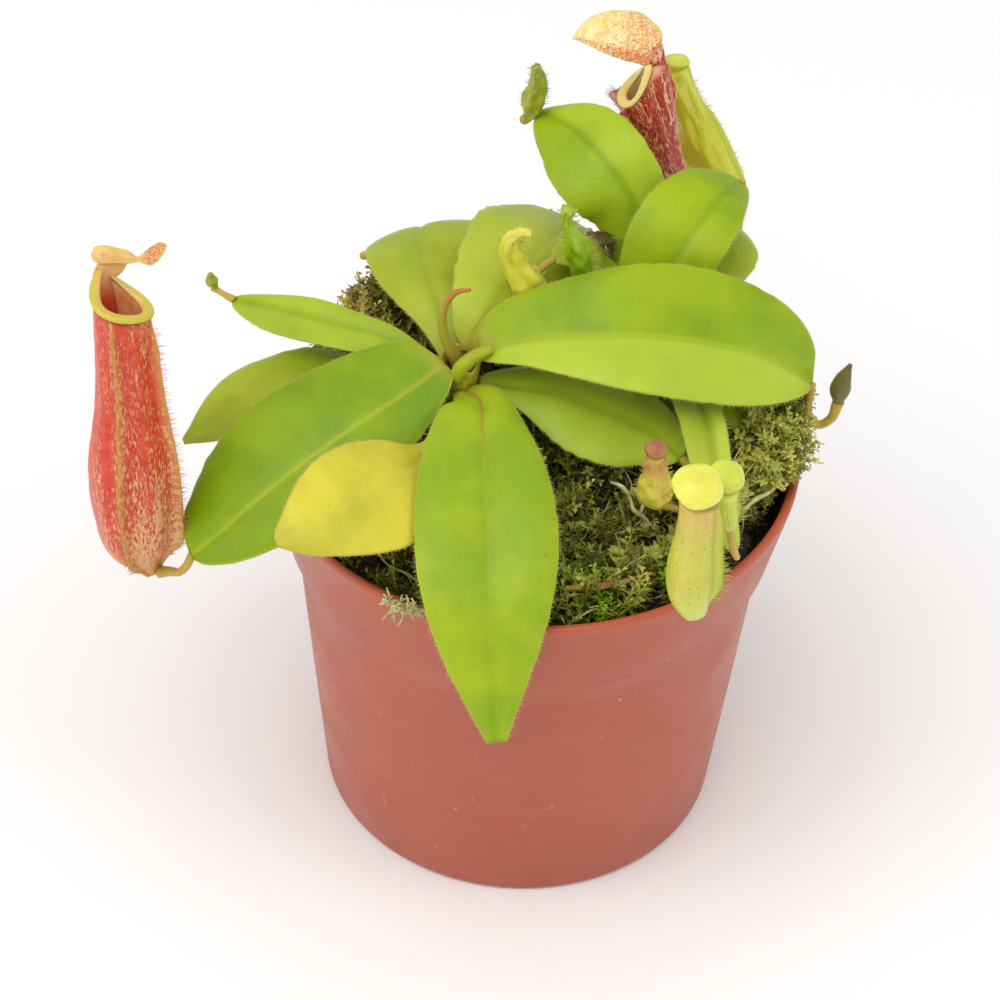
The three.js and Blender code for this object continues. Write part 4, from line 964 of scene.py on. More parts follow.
pale_hair = hair_look("hair_pale", "d8d98a", "e8dcb0")
fringes = []
for leaf in LEAVES:
    blade, shape = leaf_shape(leaf)
    shape.piece(leaf["name"] + "_skin", LEAF_LOOKS[leaf["kind"]], leaf["kind"], leaf["name"])
    dice = np.random.default_rng(blade.seed)
    for s in (-1, 1):
        for t in np.arange(0.04, 0.99, 0.36 / blade.line.length):
            t = float(t + dice.normal() * 0.002)
            if not 0.02 < t < 0.995:
                continue
            _, along, up, side = blade.frame(t)
            way = side * s + along * (0.25 + 0.4 * dice.random()) + up * dice.normal() * 0.35
            size = (0.032, 0.032, 0.3 + 0.45 * dice.random())
            fringes.append((blade.spot(t, s), tuple(way), dice.random() * 6, size, dice.random()))
scatter("leaf_hairs", hair, fringes, pale_hair, "leaf")


# The crowns: the newest leaf, still rolled, with an orange tip, a clasping sheath of leaf feet round
# each stem, and the thick stalk of the large right leaf, which leaves the front crown.
shoot, n, shader = material("shoot_rolled", 0.45, coat=0.1, scatter=0.1)
flat, t = n.place(), n.fact("t")
colour = n.mix(n.band(t, 0.0, 0.3), tone("a88424"), tone("a89c28"))
colour = n.mix(n.band(t, 0.6, 0.95), colour, tone("bc6c30"))
seam = n.band(n.noise(n.stretched(flat, 0.1, 1.2, 1.2), 1.0, 2), 0.5, 0.6)
colour = n.mix(n.times(seam, 0.3), colour, tone("8a8430"))
finish(n, shader, colour, seam, 0.1)
SHOOT_RIB = [
    (-12.8, 1.8, 88.0), (-13.8, 1.9, 90.6), (-15.2, 2, 94.2), (-15.8, 2.2, 98), (-15.2, 2.4, 101.4),
    (-13.7, 2.6, 103.4), (-11.4, 2.4, 104.3),
]
shape = Shape()
SHOOT_RADII = [1.3, 1.1, 0.9, 0.8, 0.7, 0.55, 0.28]


def rolled(t, turn):
    return 0.1 * math.sin(turn - 5 * t)


tube(shape, Line(SHOOT_RIB), SHOOT_RADII, sides=24, steps=60, ripple=rolled)
shape.piece("young_leaf_rolled", shoot, "shaded_leaf", "young_leaf")


def sheath_shape(x, y, low, top, radius, flare, steps=12, sides=64):
    """The leaf feet clasp each other as a flared sheath round the stem, with an oblique torn edge."""
    shape = Shape()
    rows = []
    for inner in (0, 1):
        for i in range(steps + 1):
            t = (steps - i if inner else i) / steps
            row = []
            for k in range(sides):
                turn = math.tau * k / sides
                edge = top + 1.1 * math.cos(turn - 0.4)
                edge += 0.5 * math.sin(3 * turn + 1) + 0.25 * math.sin(8 * turn)
                r = radius + flare * t * t * (1 + 0.25 * math.sin(3 * turn)) - 0.4 * inner
                place = (x + r * math.cos(turn), y + r * math.sin(turn), lerp(low, edge, t))
                flat = (4 * math.cos(turn), 4 * math.sin(turn), t * 6)
                row.append(shape.point(place, flat=flat, t=t))
            rows.append(row)
    shape.skin(rows)
    return shape


sheath, n, shader = material("sheath_waxy", 0.42, coat=0.06, scatter=0.2)
flat, t = n.place(), n.fact("t")
colour = n.mix(n.band(n.noise(flat, 0.35, 3), 0.35, 0.65), tone("b4b424"), tone("ccc43c"))
streaks = n.band(n.noise(n.stretched(flat, 1, 1, 0.25), 1.2, 3, 0.6), 0.48, 0.62)
colour = n.mix(n.times(streaks, 0.15), colour, tone("b4702c"))
colour = n.mix(n.times(n.band(t, 0.72, 0.95), 0.4), colour, tone("b87030"))
finish(n, shader, colour, streaks, 0.15)
for name, low, top in (("front", 80, 90.9), ("back", 78, 88.8)):
    x, y, radius = STEMS[name]
    crown = sheath_shape(x, y, low, top, radius + 0.1, 1.1)
    crown.piece("crown_sheath_" + name, sheath, "stem")
STALK = [(-13.3, -2, 89.2), (-12.2, -2, 91.8), (-10.4, -1.2, 93.2), (-7.6, 0.2, 93.8)]
petiole = Shape()
tube(petiole, Line(STALK), [1.2, 1.25, 1.15, 1.05, 0.8], sides=18, steps=30)
petiole.piece("leaf_right_petiole", LEAF_LOOKS["leaf"], "leaf")


# The two open pitchers: thin-walled traps of leaf tissue, red with cream flecks, each grown on from the
# tendril of a leaf. They have two fringed wings in front and a rolled, ribbed, glossy collar.

# t runs from the foot to the mouth, bearing is the turn from the mouth's front in half turns, and
# flat holds the place on an upright drum, so that streaks run down the wall without a seam.
CUPS = [
    dict(
        name="pitcher_left", front=[0.55, -0.83], rise=5, nip=0.6, spine=0, tilt=1.2, wall=0.9,
        floor=0.14,
        axis=[
            [-62.2, -21.6, 61], [-63.8, -20.8, 66], [-65, -19.2, 77], [-65.3, -17, 89],
            [-65.9, -14.6, 100], [-66.5, -12.8, 108.8],
        ],
        radii=[1.5, 5.6, 6.6, 6.9, 6.5, 5.5, 4.9, 4.9, 5.1], wing=1.6,
        wing_run=[0.2, 1.2, 1.2, 1.1, 1, 1, 0.9, 0.8, 0.2],
        collar=0.95,
    ),
    dict(
        name="pitcher_back", front=[-1, 0], rise=5.8, nip=0.4, spine=3, tilt=0, wall=0.7, floor=0.14,
        axis=[
            [26, 48.2, 84.4], [24.6, 47.6, 88.6], [21.2, 47, 96], [18.6, 46, 104], [16.8, 45, 110],
            [15.6, 44.4, 113.6],
        ],
        radii=[1.5, 3, 3.3, 3.3, 3.4, 3.5, 3.6, 3.5, 3.4], wing=4.8,
        wing_run=[0, 0.24, 0.3, 0.4, 0.4, 0.45, 0.6, 1.08, 0.3],
        collar=1.05,
    ),
]
WING_AT = 41
DRUM = 6.0


class Cup:
    """Places on an open pitcher's wall: v runs from its foot to its mouth."""

    def __init__(self, cup):
        self.cup = cup
        self.line = Line(cup["axis"])
        self.front = np.array(cup["front"] + [0.0])

    def spot(self, v, degrees, inset=0.0, sharp=3.4):
        cup = self.cup
        along = self.line.along(v)
        front, side = square(self.front, along)
        turn = math.radians(degrees)
        rear = (1 - math.cos(turn)) / 2
        r = profile(cup["radii"], v) - inset
        if inset == 0:
            peak = math.exp(-(((abs(degrees) - WING_AT) / sharp) ** 2))
            r += cup["wing"] * profile(cup["wing_run"], v) * peak + cup["spine"] * rear**8 * v**3
        nip = 1 - cup["nip"] * rear * rear * v**6
        place = self.line.at(v) + front * (r * math.cos(turn)) + side * (r * math.sin(turn) * nip)
        return place + along * ((cup["rise"] * rear**1.6 - cup["tilt"] * math.sin(turn)) * v**3)

    def drum(self, v, degrees):
        turn = math.radians(degrees)
        return (DRUM * math.cos(turn), DRUM * math.sin(turn), v * self.line.length)


def cup_shape(cup):
    made = Cup(cup)
    shape = Shape()
    close = [s * a for s in (-1, 1) for a in (33, 35.5, 37.5, 39, 41, 43, 44.5, 46.5, 49)]
    around = sorted({*range(-176, 181, 6), *close})
    steps = 60
    rows = []
    for i in range(steps + 1):
        v = i / steps
        row = []
        for a in around:
            drum = made.drum(v, a)
            place = made.spot(v, a)
            fold = 0.09 * math.sin(math.radians(a) * 9 + 2 * v) + 0.14 * noise.noise([c * 0.4 for c in drum])
            place = place + unit(place - made.line.at(v)) * fold * min(1, v * 5, (1.02 - v) * 8)
            near = math.exp(-(((abs(a) - WING_AT) / 4) ** 2))
            row.append(shape.point(place, flat=drum, t=v, bearing=a / 180, wing=near, inner=0.0))
        rows.append(row)
    for i in range(steps, -1, -2):
        v = lerp(cup["floor"], 1, i / steps)
        inset = min(cup["wall"] * 0.8, profile(cup["radii"], v) * 0.5)
        row = []
        for a in around:
            place = made.spot(v, a, inset)
            facts = {"bearing": a / 180, "wing": 0.0, "inner": 1.0}
            row.append(shape.point(place, flat=made.drum(v, a), t=v, **facts))
        rows.append(row)
    shape.skin(rows)
    return made, shape


# Half the width of each collar in front, and how much less it is behind, in shares of its solid.
COLLAR_SHARES = {"pitcher_left": (1.15, 0.4), "pitcher_back": (0.84, 0.24)}


def collar_shape(made, turns=240, sides=16):
    """The collar is a rolled ring, wide in front and thin at the neck, with fine cross ribs."""
    shape = Shape()
    cup = made.cup
    along = made.line.along(1)
    front, less = COLLAR_SHARES[cup["name"]]
    rows = []
    for i in range(turns):
        degrees = 360 * i / turns
        near = made.spot(1, degrees, cup["wall"] / 2)
        out = near - made.line.at(1)
        out = unit(out - np.dot(out, along) * along)
        rear = (1 - math.cos(math.radians(degrees))) / 2
        wide = cup["collar"] * (front - less * rear)
        high = wide * 0.62
        centre = near + along * (high + 0.2)
        rib = 1 + 0.035 * math.cos(math.radians(degrees) * 60)
        row = []
        for k in range(sides):
            turn = math.tau * k / sides
            place = centre + (out * (wide * math.cos(turn)) + along * (high * math.sin(turn))) * rib
            outward = 0.5 + 0.5 * math.cos(turn)
            row.append(shape.point(place, flat=made.drum(0, degrees), out=outward))
        rows.append(row)
    shape.skin(rows + [rows[0]], capped=False)
    return shape


def wall_look(name, red, cream, wing_tone, lining_tones_painted_light, share, low, dark_side, grain, crisp):
    """Streaked pitcher wall: cream flecks drawn out lengthwise on red, paler at its foot and wings.

    share is how much is cream, low how much more at the foot, dark_side how much less on the left,
    grain how fine the flecks are and crisp how soft their edges.
    """
    look, n, shader = material(name, 0.36, coat=0.1, scatter=0.45)
    drum, t, inner, wing = n.place(), n.fact("t"), n.fact("inner"), n.fact("wing")
    fine = n.noise(n.stretched(drum, 1.0, 1.0, 0.28), grain, 4, 0.75, 0.25)
    broad = n.noise(n.stretched(drum, 1.0, 1.0, 0.12), 0.42, 2)
    foot = n.band(t, 0.75, 0.1)
    drift = n.times(n.math("SUBTRACT", broad, 0.5), 0.34)
    level = n.math("ADD", fine, n.math("ADD", drift, n.times(foot, low)))
    far_side = n.band(n.fact("bearing"), -0.22, -0.3)
    level = n.math("SUBTRACT", level, n.times(far_side, dark_side))
    streak = n.band(level, 0.53 - share, 0.53 + crisp - share)
    speck = n.band(n.noise(n.stretched(drum, 1.0, 1.0, 0.5), 4.2, 2, 0.6), 0.55, 0.66)
    ground = n.mix(n.band(n.noise(drum, 0.7, 3), 0.35, 0.7), tone(red[0]), tone(red[1]))
    colour = n.mix(n.times(streak, 0.8), ground, tone(cream))
    colour = n.mix(n.times(speck, 0.35), colour, ground)
    colour = n.mix(n.times(n.band(t, 0.2, 0.02), 0.5), colour, tone("dcae62"))
    colour = n.mix(n.times(wing, 0.62), colour, tone(wing_tone))
    # The lining tones are painted light: they are paler than the lining, to stand in for light in the shaded
    # hollow of the mouth.
    gap, throat, slit = lining_tones_painted_light
    bearing = n.fact("bearing")
    lining = n.mix(n.band(n.noise(drum, 0.5, 3), 0.35, 0.65), tone(gap), tone(throat))
    dark = n.band(n.noise(n.stretched(drum, 1.0, 1.0, 0.35), 1.2, 3, 0.7), 0.6, 0.68)
    lining = n.mix(n.times(dark, n.band(n.math("ABSOLUTE", bearing), 0.9, 0.6), 0.6), lining, tone(slit))
    colour = n.mix(inner, colour, lining)
    height = n.math("ADD", n.times(streak, 0.4), n.noise(drum, 2.2, 3))
    finish(n, shader, colour, height, 0.08)
    return look


WALL_LOOKS = {
    "pitcher_left": wall_look(
        "pitcher_red", ("cc3018", "dc4c2c"), "f2cc90", "c8aa50", ("f8c088", "f0a470", "c84030"),
        share=0.035, low=0.055, dark_side=0.07, grain=3.4, crisp=0.1,
    ),
    "pitcher_back": wall_look(
        "pitcher_deep_red", ("a81c08", "c0301a"), "fcd0a4", "b83c28", ("fff0c4", "ffd4a0", "cc6840"),
        share=0.01, low=0.0, dark_side=0.0, grain=2.5, crisp=0.06,
    ),
}


def collar_look(name, inner_tone, outer_tone, warm_tone):
    look, n, shader = material(name, 0.24, coat=0.3, scatter=0.3)
    drum, out = n.place(), n.fact("out")
    colour = n.mix(n.band(out, 0.1, 0.9), tone(inner_tone), tone(outer_tone))
    warm_side = n.band(n.noise(drum, 0.16, 2), 0.45, 0.65)
    finish(n, shader, n.mix(n.times(warm_side, 0.35), colour, tone(warm_tone)))
    return look


COLLAR_LOOKS = {
    "pitcher_left": collar_look("collar_gold", "dcb85c", "c8bc34", "dcae50"),
    "pitcher_back": collar_look("collar_cream", "e8d084", "dccc68", "e4c27c"),
}
red_hair = hair_look("hair_red", "b03a2c", "dc9c74")
green_hair = hair_look("hair_green", "b0ac3c", "e4e488")
red_fringe = []
pale_fringe = []
cups = {}


def bristles(fringe, roots, count, size, spread, seed, thick=0.06):
    """Plants bristles at the places that roots gives for shares from 0 to 1, with their way out."""
    dice = np.random.default_rng(seed)
    for k in range(count):
        place, out, along = roots((k + dice.random() * 0.7) / count)
        way = out + along * (0.1 + 0.55 * dice.random()) + dice.normal(size=3) * spread
        scale = (thick, thick, size * (0.55 + 0.75 * dice.random()))
        fringe.append((tuple(place - out * 0.1), tuple(way), dice.random() * 6, scale, dice.random()))


for cup in CUPS:
    made, shape = cup_shape(cup)
    cups[cup["name"]] = made
    shape.piece(cup["name"] + "_wall", WALL_LOOKS[cup["name"]], "red_pitcher", cup["name"])
    collar_shape(made).piece(cup["name"] + "_collar", COLLAR_LOOKS[cup["name"]], "rim", cup["name"] + "_rim")
    for side in (-WING_AT, WING_AT):

        def wing_root(share, made=made, side=side):
            v = lerp(0.06, 0.97, share)
            place = made.spot(v, side)
            return place, unit(place - made.line.at(v)), made.line.along(v)

        bristles(red_fringe, wing_root, int(made.line.length * 3), 1.5, 0.2, 60 + side)


# The lids. Two stand open over their mouths as thin, cupped leaves, each on a strap at the back of its
# collar. Their rows run from one end to the other and give a middle point and half the depth, and
# LID_DEEP is the way from the front edge to the back edge.
LID_ROWS = {
    "lid_left": [
        (-71.3, -7.5, 116.0, 0.1), (-70.7, -7.5, 116.2, 1.2), (-69.3, -7.5, 116.3, 1.46),
        (-67.3, -7.5, 116.2, 1.3), (-65.3, -7.5, 115.9, 1.0), (-63.9, -7.5, 115.6, 0.45),
        (-63.1, -7.5, 115.9, 0.86), (-61.9, -7.5, 116.4, 1.5), (-60.6, -7.5, 117.3, 1.5),
        (-59.6, -7.5, 118.2, 0.73), (-59.3, -7.5, 118.6, 0.1),
    ],
    "lid_back": [
        (3.7, 47.5, 122.8, 0.15), (5.0, 47.5, 123.8, 1.45), (6.5, 47.5, 124.3, 2.64),
        (9.2, 47.5, 124.3, 3.85), (11.9, 47.5, 123.9, 4.5), (14.6, 47.5, 123.5, 4.74),
        (16.3, 47.3, 123.0, 4.28), (17.6, 47.2, 123.6, 2.6), (18.4, 47.2, 124.0, 1.28),
        (18.7, 47.2, 124.0, 0.15),
    ],
}
LID_DEEP = {"lid_left": (0, 0.8, 0.6), "lid_back": (0, 0.87, 0.5)}


def lid_shape(name, steps=60, half=12):
    line = Line(LID_ROWS[name])
    deep = unit(np.array(LID_DEEP[name]))
    shape = Shape()
    rows = []
    for i in range(steps + 1):
        t = i / steps
        spot = line.at(t)
        out = unit(np.cross(line.along(t), deep))
        row = []
        for under in (0, 1):
            for k in range(-half, half + 1):
                s = (-k if under else k) / half
                ragged = 1 + 0.05 * noise.noise((t * 9, s * 2, 1)) * abs(s)
                thin = (0.08 + 0.16 * (1 - abs(s))) * min(1, spot[3] + 0.2)
                height = 0.22 * spot[3] * (1 - s * s) + (-thin if under else thin)
                height += 0.1 * math.sin(t * 30 + s * 3) * (1 - abs(s)) + 0.2 * noise.noise((t * 5, s, 4))
                place = spot[:3] + deep * (s * spot[3] * ragged) + out * height
                flat = (t * line.length, s * spot[3], 0.0)
                row.append(shape.point(place, flat=flat, t=t, across=abs(s), side=s))
        rows.append(row)
    shape.skin(rows)
    return shape


def lid_look(name, low, high, fleck, rim_tone, hinge, edge, front):
    """Pale lid with drawn-out flecks. hinge gives the shares of its length over which they crowd, and
    how much. edge is how many fewer there are at its rim, and front how many more at its front edge.
    """
    look, n, shader = material(name, 0.38, coat=0.1, scatter=0.3)
    flat, t, across, side = n.place(), n.fact("t"), n.fact("across"), n.fact("side")
    to_hinge = n.times(n.band(t, hinge[0], hinge[1]), hinge[2])
    crowd = n.math("ADD", to_hinge, n.times(n.band(side, -0.45, -0.8), front))
    crowd = n.math("SUBTRACT", crowd, n.times(n.band(across, 0.86, 0.97), edge))
    speckle = n.noise(n.stretched(flat, 0.7, 1.4), 2.6, 4, 0.75, 0.4)
    red = n.band(n.math("ADD", speckle, crowd), 0.6, 0.66)
    colour = n.mix(n.band(n.noise(flat, 0.35, 2), 0.35, 0.65), tone(low), tone(high))
    glow = n.times(n.band(n.math("ADD", n.noise(flat, 0.5, 2), crowd), 0.5, 0.68), 0.4)
    colour = n.mix(glow, colour, tone("ec9c72"))
    colour = n.mix(n.times(n.band(across, 0.84, 0.97), 0.6), colour, tone(rim_tone))
    colour = n.mix(n.times(red, 0.8), colour, tone(fleck))
    finish(n, shader, colour, speckle, 0.05)
    return look


LID_LOOKS = {
    "lid_left": lid_look(
        "lid_beige", "e4c070", "e0b464", "c24438", "d8c854",
        hinge=(0.55, 0.75, 0.13), edge=0.0, front=-0.03,
    ),
    "lid_back": lid_look(
        "lid_cream", "f2da84", "f6e2a4", "c43c28", "ecd870",
        hinge=(0.15, 0.75, 0.105), edge=0.03, front=0.11,
    ),
}


def strap_shape(points, widths, thick, facing, steps=24, sides=24, **facts):
    """A strap along points, oval in section, which joins a lid to the back of its pitcher's mouth."""
    shape = Shape()
    line = Line(points)
    rows = []
    for i in range(steps + 1):
        t = i / steps
        out, side = square(np.array(facing, float), line.along(t))
        row = []
        for k in range(sides):
            turn = math.tau * k / sides
            wide = profile(widths, t) * math.cos(turn)
            place = line.at(t) + side * wide + out * (thick * math.sin(turn))
            row.append(shape.point(place, flat=(wide, 3.0, t * line.length), **{"t": t, **facts}))
        rows.append(row)
    shape.skin(rows)
    return shape


def strap_look(name, low, high, fleck):
    look, n, shader = material(name, 0.38, coat=0.1, scatter=0.3)
    flat, t = n.place(), n.fact("t")
    colour = n.mix(n.band(t, 0.25, 0.7), tone(low), tone(high))
    flecks = n.band(n.noise(n.stretched(flat, 1.0, 1.0, 0.3), 3.4, 3, 0.7), 0.55, 0.64)
    finish(n, shader, n.mix(n.times(flecks, 0.6), colour, tone(fleck)), flecks, 0.05)
    return look


for name in LID_ROWS:
    lid_shape(name).piece(name + "_blade", LID_LOOKS[name], "lid", name)
made = cups["pitcher_left"]
rear = [made.spot(v, 180, 0.75) for v in (0.88, 0.94, 1.0)]
rear += [(-67.9, -7.6, 114.6), (-67.4, -7.3, 116.0)]
strap = strap_shape(rear, [2.6, 2.5, 2.1, 1.9, 2.4], 0.45, (0.4, -0.7, 0.6))
strap.piece("lid_left_neck", strap_look("neck_beige", "d4482c", "e8b474", "d87454"), "lid")
CREST = [(19.4, 44.8, 110.8), (19.2, 44.6, 114.4), (18.6, 44.8, 117.7), (18, 45.4, 120.6), (17.3, 46, 122.9)]
strap = strap_shape(CREST, [2.2, 2.6, 2.1, 1.5, 1.6], 0.6, (0.2, -0.7, 0.7), t=0.9)
strap.piece("lid_back_neck", WALL_LOOKS["pitcher_back"], "lid")


# Closed pitchers and buds: young, fluted, waxy traps that stand on their tendrils, three of them with
# thin fins down their sides and most with rows of bristles. Four carry a lid that is still shut.
BUDS = [
    dict(
        name="pitcher_pale_front",
        axis=[[25.9, -44.6, 80.3], [25.3, -45, 83], [24.9, -45, 90], [25.1, -45, 98], [25.1, -44.8, 103.4]],
        radii=[2.3, 3.4, 3.75, 3.6, 3.2, 3.0, 3.0], fin_bearings=[150], fin=[0, 0.4, 1.7, 1.9, 1.8, 1.6, 0.6],
    ),
    dict(
        name="pitcher_pale_right",
        axis=[[30.7, -37.6, 91.6], [30.3, -38, 93.2], [29.8, -38, 96.2], [29.6, -37.8, 99.6]],
        radii=[0.9, 1.7, 1.9, 1.9, 2], fin_bearings=[108], fin=[0, 0.6, 0.6, 0.3],
    ),
    dict(
        name="pitcher_small",
        axis=[[20.8, -21.6, 81], [19.9, -22, 83.6], [19.6, -22, 87.4], [19.4, -22, 91]],
        radii=[1, 2.7, 2.8, 2, 1.7],
    ),
    dict(
        name="pitcher_green_back",
        axis=[
            [32.4, 56.6, 77.8], [31.6, 56.4, 83], [29.7, 56, 90.5], [26, 56, 100], [23.3, 55.4, 107],
            [21.6, 55, 112.4],
        ],
        radii=[1.2, 3.5, 3.9, 3.6, 3, 2.4, 2], fin_bearings=[120, 300], fin=[0, 0.7, 0.6, 0.4, 0.3, 0.1],
    ),
    dict(
        name="pitcher_withered",
        axis=[
            [-0.8, 13, 95.6], [-2.8, 12.2, 99], [-4.5, 11.8, 102.6], [-5.4, 11.5, 105.8], [-5.1, 11.4, 108],
            [-3.6, 11.3, 109.4], [-2, 11.2, 109.2],
        ],
        radii=[3.1, 3.0, 2.5, 1.9, 1.5, 1.1, 0.7],
    ),
    dict(
        name="bud_green_back",
        axis=[
            [6.9, 15.4, 96.8], [6.6, 15.1, 99.8], [6, 15, 103], [4.9, 14.6, 106.4], [3.9, 14.4, 109.6],
            [3.7, 14.2, 111], [4, 14, 112.8],
        ],
        radii=[1.2, 1.6, 1.9, 2.0, 1.7, 1.0, 0.8, 1.2],
    ),
    dict(
        name="bud_between_leaves",
        axis=[[-9.8, 37, 86.3], [-9.9, 37, 89.8], [-9.5, 36.8, 92.6], [-8.2, 36.4, 94.4]],
        radii=[0.7, 1.6, 1.4, 0.4],
    ),
    dict(
        name="bud_tall_leaf",
        axis=[[-3.4, 46, 106.8], [-2.6, 45.8, 110], [-1.8, 45.4, 114.4], [-2.2, 45, 118.6]],
        radii=[0.6, 1.8, 1.8, 1.3, 0.7],
    ),
    dict(
        name="bud_right_tendril",
        axis=[[50.7, 7, 79.4], [50.8, 7, 82], [51.2, 7, 85], [52, 7, 88]],
        radii=[0.7, 1.7, 1.3, 0.4],
    ),
    dict(
        name="bud_left_tendril",
        axis=[[-54.7, 20.6, 87.4], [-55.4, 20.8, 88.8], [-55.6, 20.8, 90.2]],
        radii=[0.5, 1.1, 0.5],
    ),
    dict(
        name="bud_back_tendril",
        axis=[[2.4, 46.3, 81.2], [1.6, 46.2, 84.4], [1.4, 45.6, 87.6]],
        radii=[0.7, 1.5, 1.3, 0.4],
    ),
    dict(
        name="pitcher_brown_old",
        axis=[[14.3, 23.1, 85], [12.6, 26.4, 87], [10.4, 27.4, 89.6], [9.6, 27, 93], [9.8, 26.8, 97]],
        radii=[0.5, 0.5, 1.2, 2.3, 2.2, 1.9],
    ),
]


def bud_look(name, foot, body, crown, dots, dotted, mottle="b89048", mottled=0.0, gloss=0.34):
    """Colours from foot to crown, rows of dots, and how far dots and mottling show."""
    look, n, shader = material(name, gloss, coat=0.15, scatter=0.16)
    flat, t = n.place(), n.fact("t")
    colour = n.mix(n.band(t, 0.02, 0.4), tone(foot), tone(body))
    colour = n.mix(n.band(t, 0.62, 1.0), colour, tone(crown))
    clouds = n.band(n.noise(n.stretched(flat, 0.8, 1.2, 1.2), 0.5, 3), 0.35, 0.7)
    colour = n.mix(n.times(clouds, 0.3), colour, tone(foot))
    veins = n.band(n.noise(n.stretched(flat, 0.14, 1.2, 1.2), 1.2, 2), 0.5, 0.62)
    colour = n.mix(n.times(veins, 0.16), colour, tone(crown))
    stain = n.band(n.noise(n.stretched(flat, 0.5, 1.2, 1.2), 0.8, 4, 0.65), 0.52, 0.66)
    colour = n.mix(n.times(stain, mottled), colour, tone(mottle))
    spots = n.band(n.cells(n.stretched(flat, 0.8, 1.2, 1.2), 1.25), 0.22, 0.12)
    rows = n.band(n.noise(n.stretched(flat, 0.12, 0.9, 0.9), 1.0, 1), 0.5, 0.6)
    colour = n.mix(n.times(spots, rows, dotted), colour, tone(dots))
    fin = n.fact("fin")
    colour = n.mix(n.times(fin, 0.7), colour, tone("aebe20"))
    # Painted shade: a darker green band along the foot of each fin, where it meets the wall.
    fin_foot_shade = n.times(n.band(fin, 0.02, 0.2), n.band(fin, 0.5, 0.25))
    colour = n.mix(n.times(fin_foot_shade, 0.45), colour, tone("98a020"))
    finish(n, shader, colour, n.math("ADD", n.noise(flat, 1.2, 3), n.times(veins, 0.5)), 0.12)
    return look


BUD_LOOKS = {
    "pale_front": bud_look("pitcher_pale", "ccd650", "ccc844", "dcb464", "8a4a24", 0.85, "d8b468", 0.2, 0.32),
    "green": bud_look("pitcher_green", "c8c828", "ced022", "d2da3c", "8c8a26", 0.35, "b0a830", 0.35),
    "lime": bud_look("pitcher_lime", "c4ce38", "c6d034", "d8e05c", "8c9a30", 0.25),
    "leafy": bud_look("bud_leafy", "94b810", "90b40c", "a8c028", "5f7c14", 0.3, "a8b048", 0.3, 0.36),
    "olive": bud_look("bud_olive", "bcb840", "96a018", "8e9828", "5c6418", 0.3, "6c7a20", 0.5, 0.4),
    "yellow": bud_look("pitcher_yellow", "ccc830", "d8d034", "e8e060", "8a7a34", 0.3, "c4a850", 0.4, 0.36),
    "brown": bud_look("pitcher_brown", "ccc844", "d0c440", "cc8c4c", "9a3a20", 0.85, "c0602c", 0.4, 0.36),
    "old": bud_look("pitcher_old", "6c6c2c", "6a6428", "6c5428", "3c2c14", 0.5, "4c4420", 0.6, 0.5),
    "cap_pale": bud_look("cap_pale", "e8e64c", "eaea60", "e0dc50", "c8b850", 0.1),
    "cap_lime": bud_look("cap_lime", "d0dc44", "d6e24c", "c8d43c", "a8b040", 0.1),
    "cap_brown": bud_look("cap_brown", "a8643c", "b47848", "a05c3c", "7c3c28", 0.6, "c89858", 0.6, 0.4),
}
# How many folds run down a bud, how deep they are and how lumpy it is, in shares of its radius.
BUD_FOLDS = {
    "bud_tall_leaf": (5, 0.14, 0.2),
    "pitcher_withered": (4, 0.1, 0.26),
    "bud_green_back": (5, 0.1, 0.3),
    "pitcher_brown_old": (4, 0.12, 0.5),
    "pitcher_green_back": (3, 0.06, 0.25),
    "pitcher_small": (5, 0.04, 0.15),
}
# Look, record slot, and ridges of bristles: bearing, the shares of its length between which they
# grow, and their length.
BUD_DRESS = {
    "pitcher_pale_front": (
        "pale_front", "pale_pitcher", [(-26, 0.1, 0.6, 1.5), (-14, 0.2, 0.5, 1.1), (-26, 0.6, 0.95, 0.9)]
    ),
    "pitcher_pale_right": (
        "lime", "pale_pitcher", [(16, 0.1, 1, 1.9), (30, 0.3, 1, 1.7), (-10, 0.2, 1, 1.4)]
    ),
    "pitcher_small": (
        "brown",
        "brown_pitcher",
        [(10, 0.1, 0.95, 1.2), (40, 0.2, 0.95, 1), (180, 0.2, 0.9, 0.8), (-40, 0.3, 0.9, 0.7)],
    ),
    "pitcher_green_back": ("green", "pale_pitcher", [(4, 0.05, 0.9, 0.8), (-176, 0.2, 0.95, 0.6)]),
    "pitcher_withered": (
        "yellow", "pale_pitcher", [(170, 0.4, 1, 1.1), (0, 0.2, 0.95, 1.2), (-90, 0.6, 1, 1.2)]
    ),
    "bud_green_back": (
        "leafy", "leaf", [(-5, 0.1, 0.95, 1.4), (15, 0.2, 0.8, 1.1), (185, 0.3, 1, 1), (-90, 0.8, 1, 1.2)],
    ),
    "bud_between_leaves": ("leafy", "leaf", []),
    "bud_tall_leaf": (
        "olive",
        "shaded_leaf",
        [(0, 0.3, 1, 0.9), (180, 0.2, 1, 0.9), (-90, 0.8, 1, 0.9), (140, 0.5, 1, 0.8)],
    ),
    "bud_right_tendril": ("old", "brown_pitcher", [(180, 0.3, 0.9, 0.5)]),
    "bud_left_tendril": ("olive", "shaded_leaf", []),
    "bud_back_tendril": ("leafy", "shaded_leaf", []),
    "pitcher_brown_old": ("old", "brown_pitcher", [(0, 0.4, 1, 1.6), (70, 0.5, 1, 1.4), (-60, 0.4, 1, 1.5)]),
}
BUD_SIDES, BUD_STEPS, FOOT_STEPS = 60, 56, 4
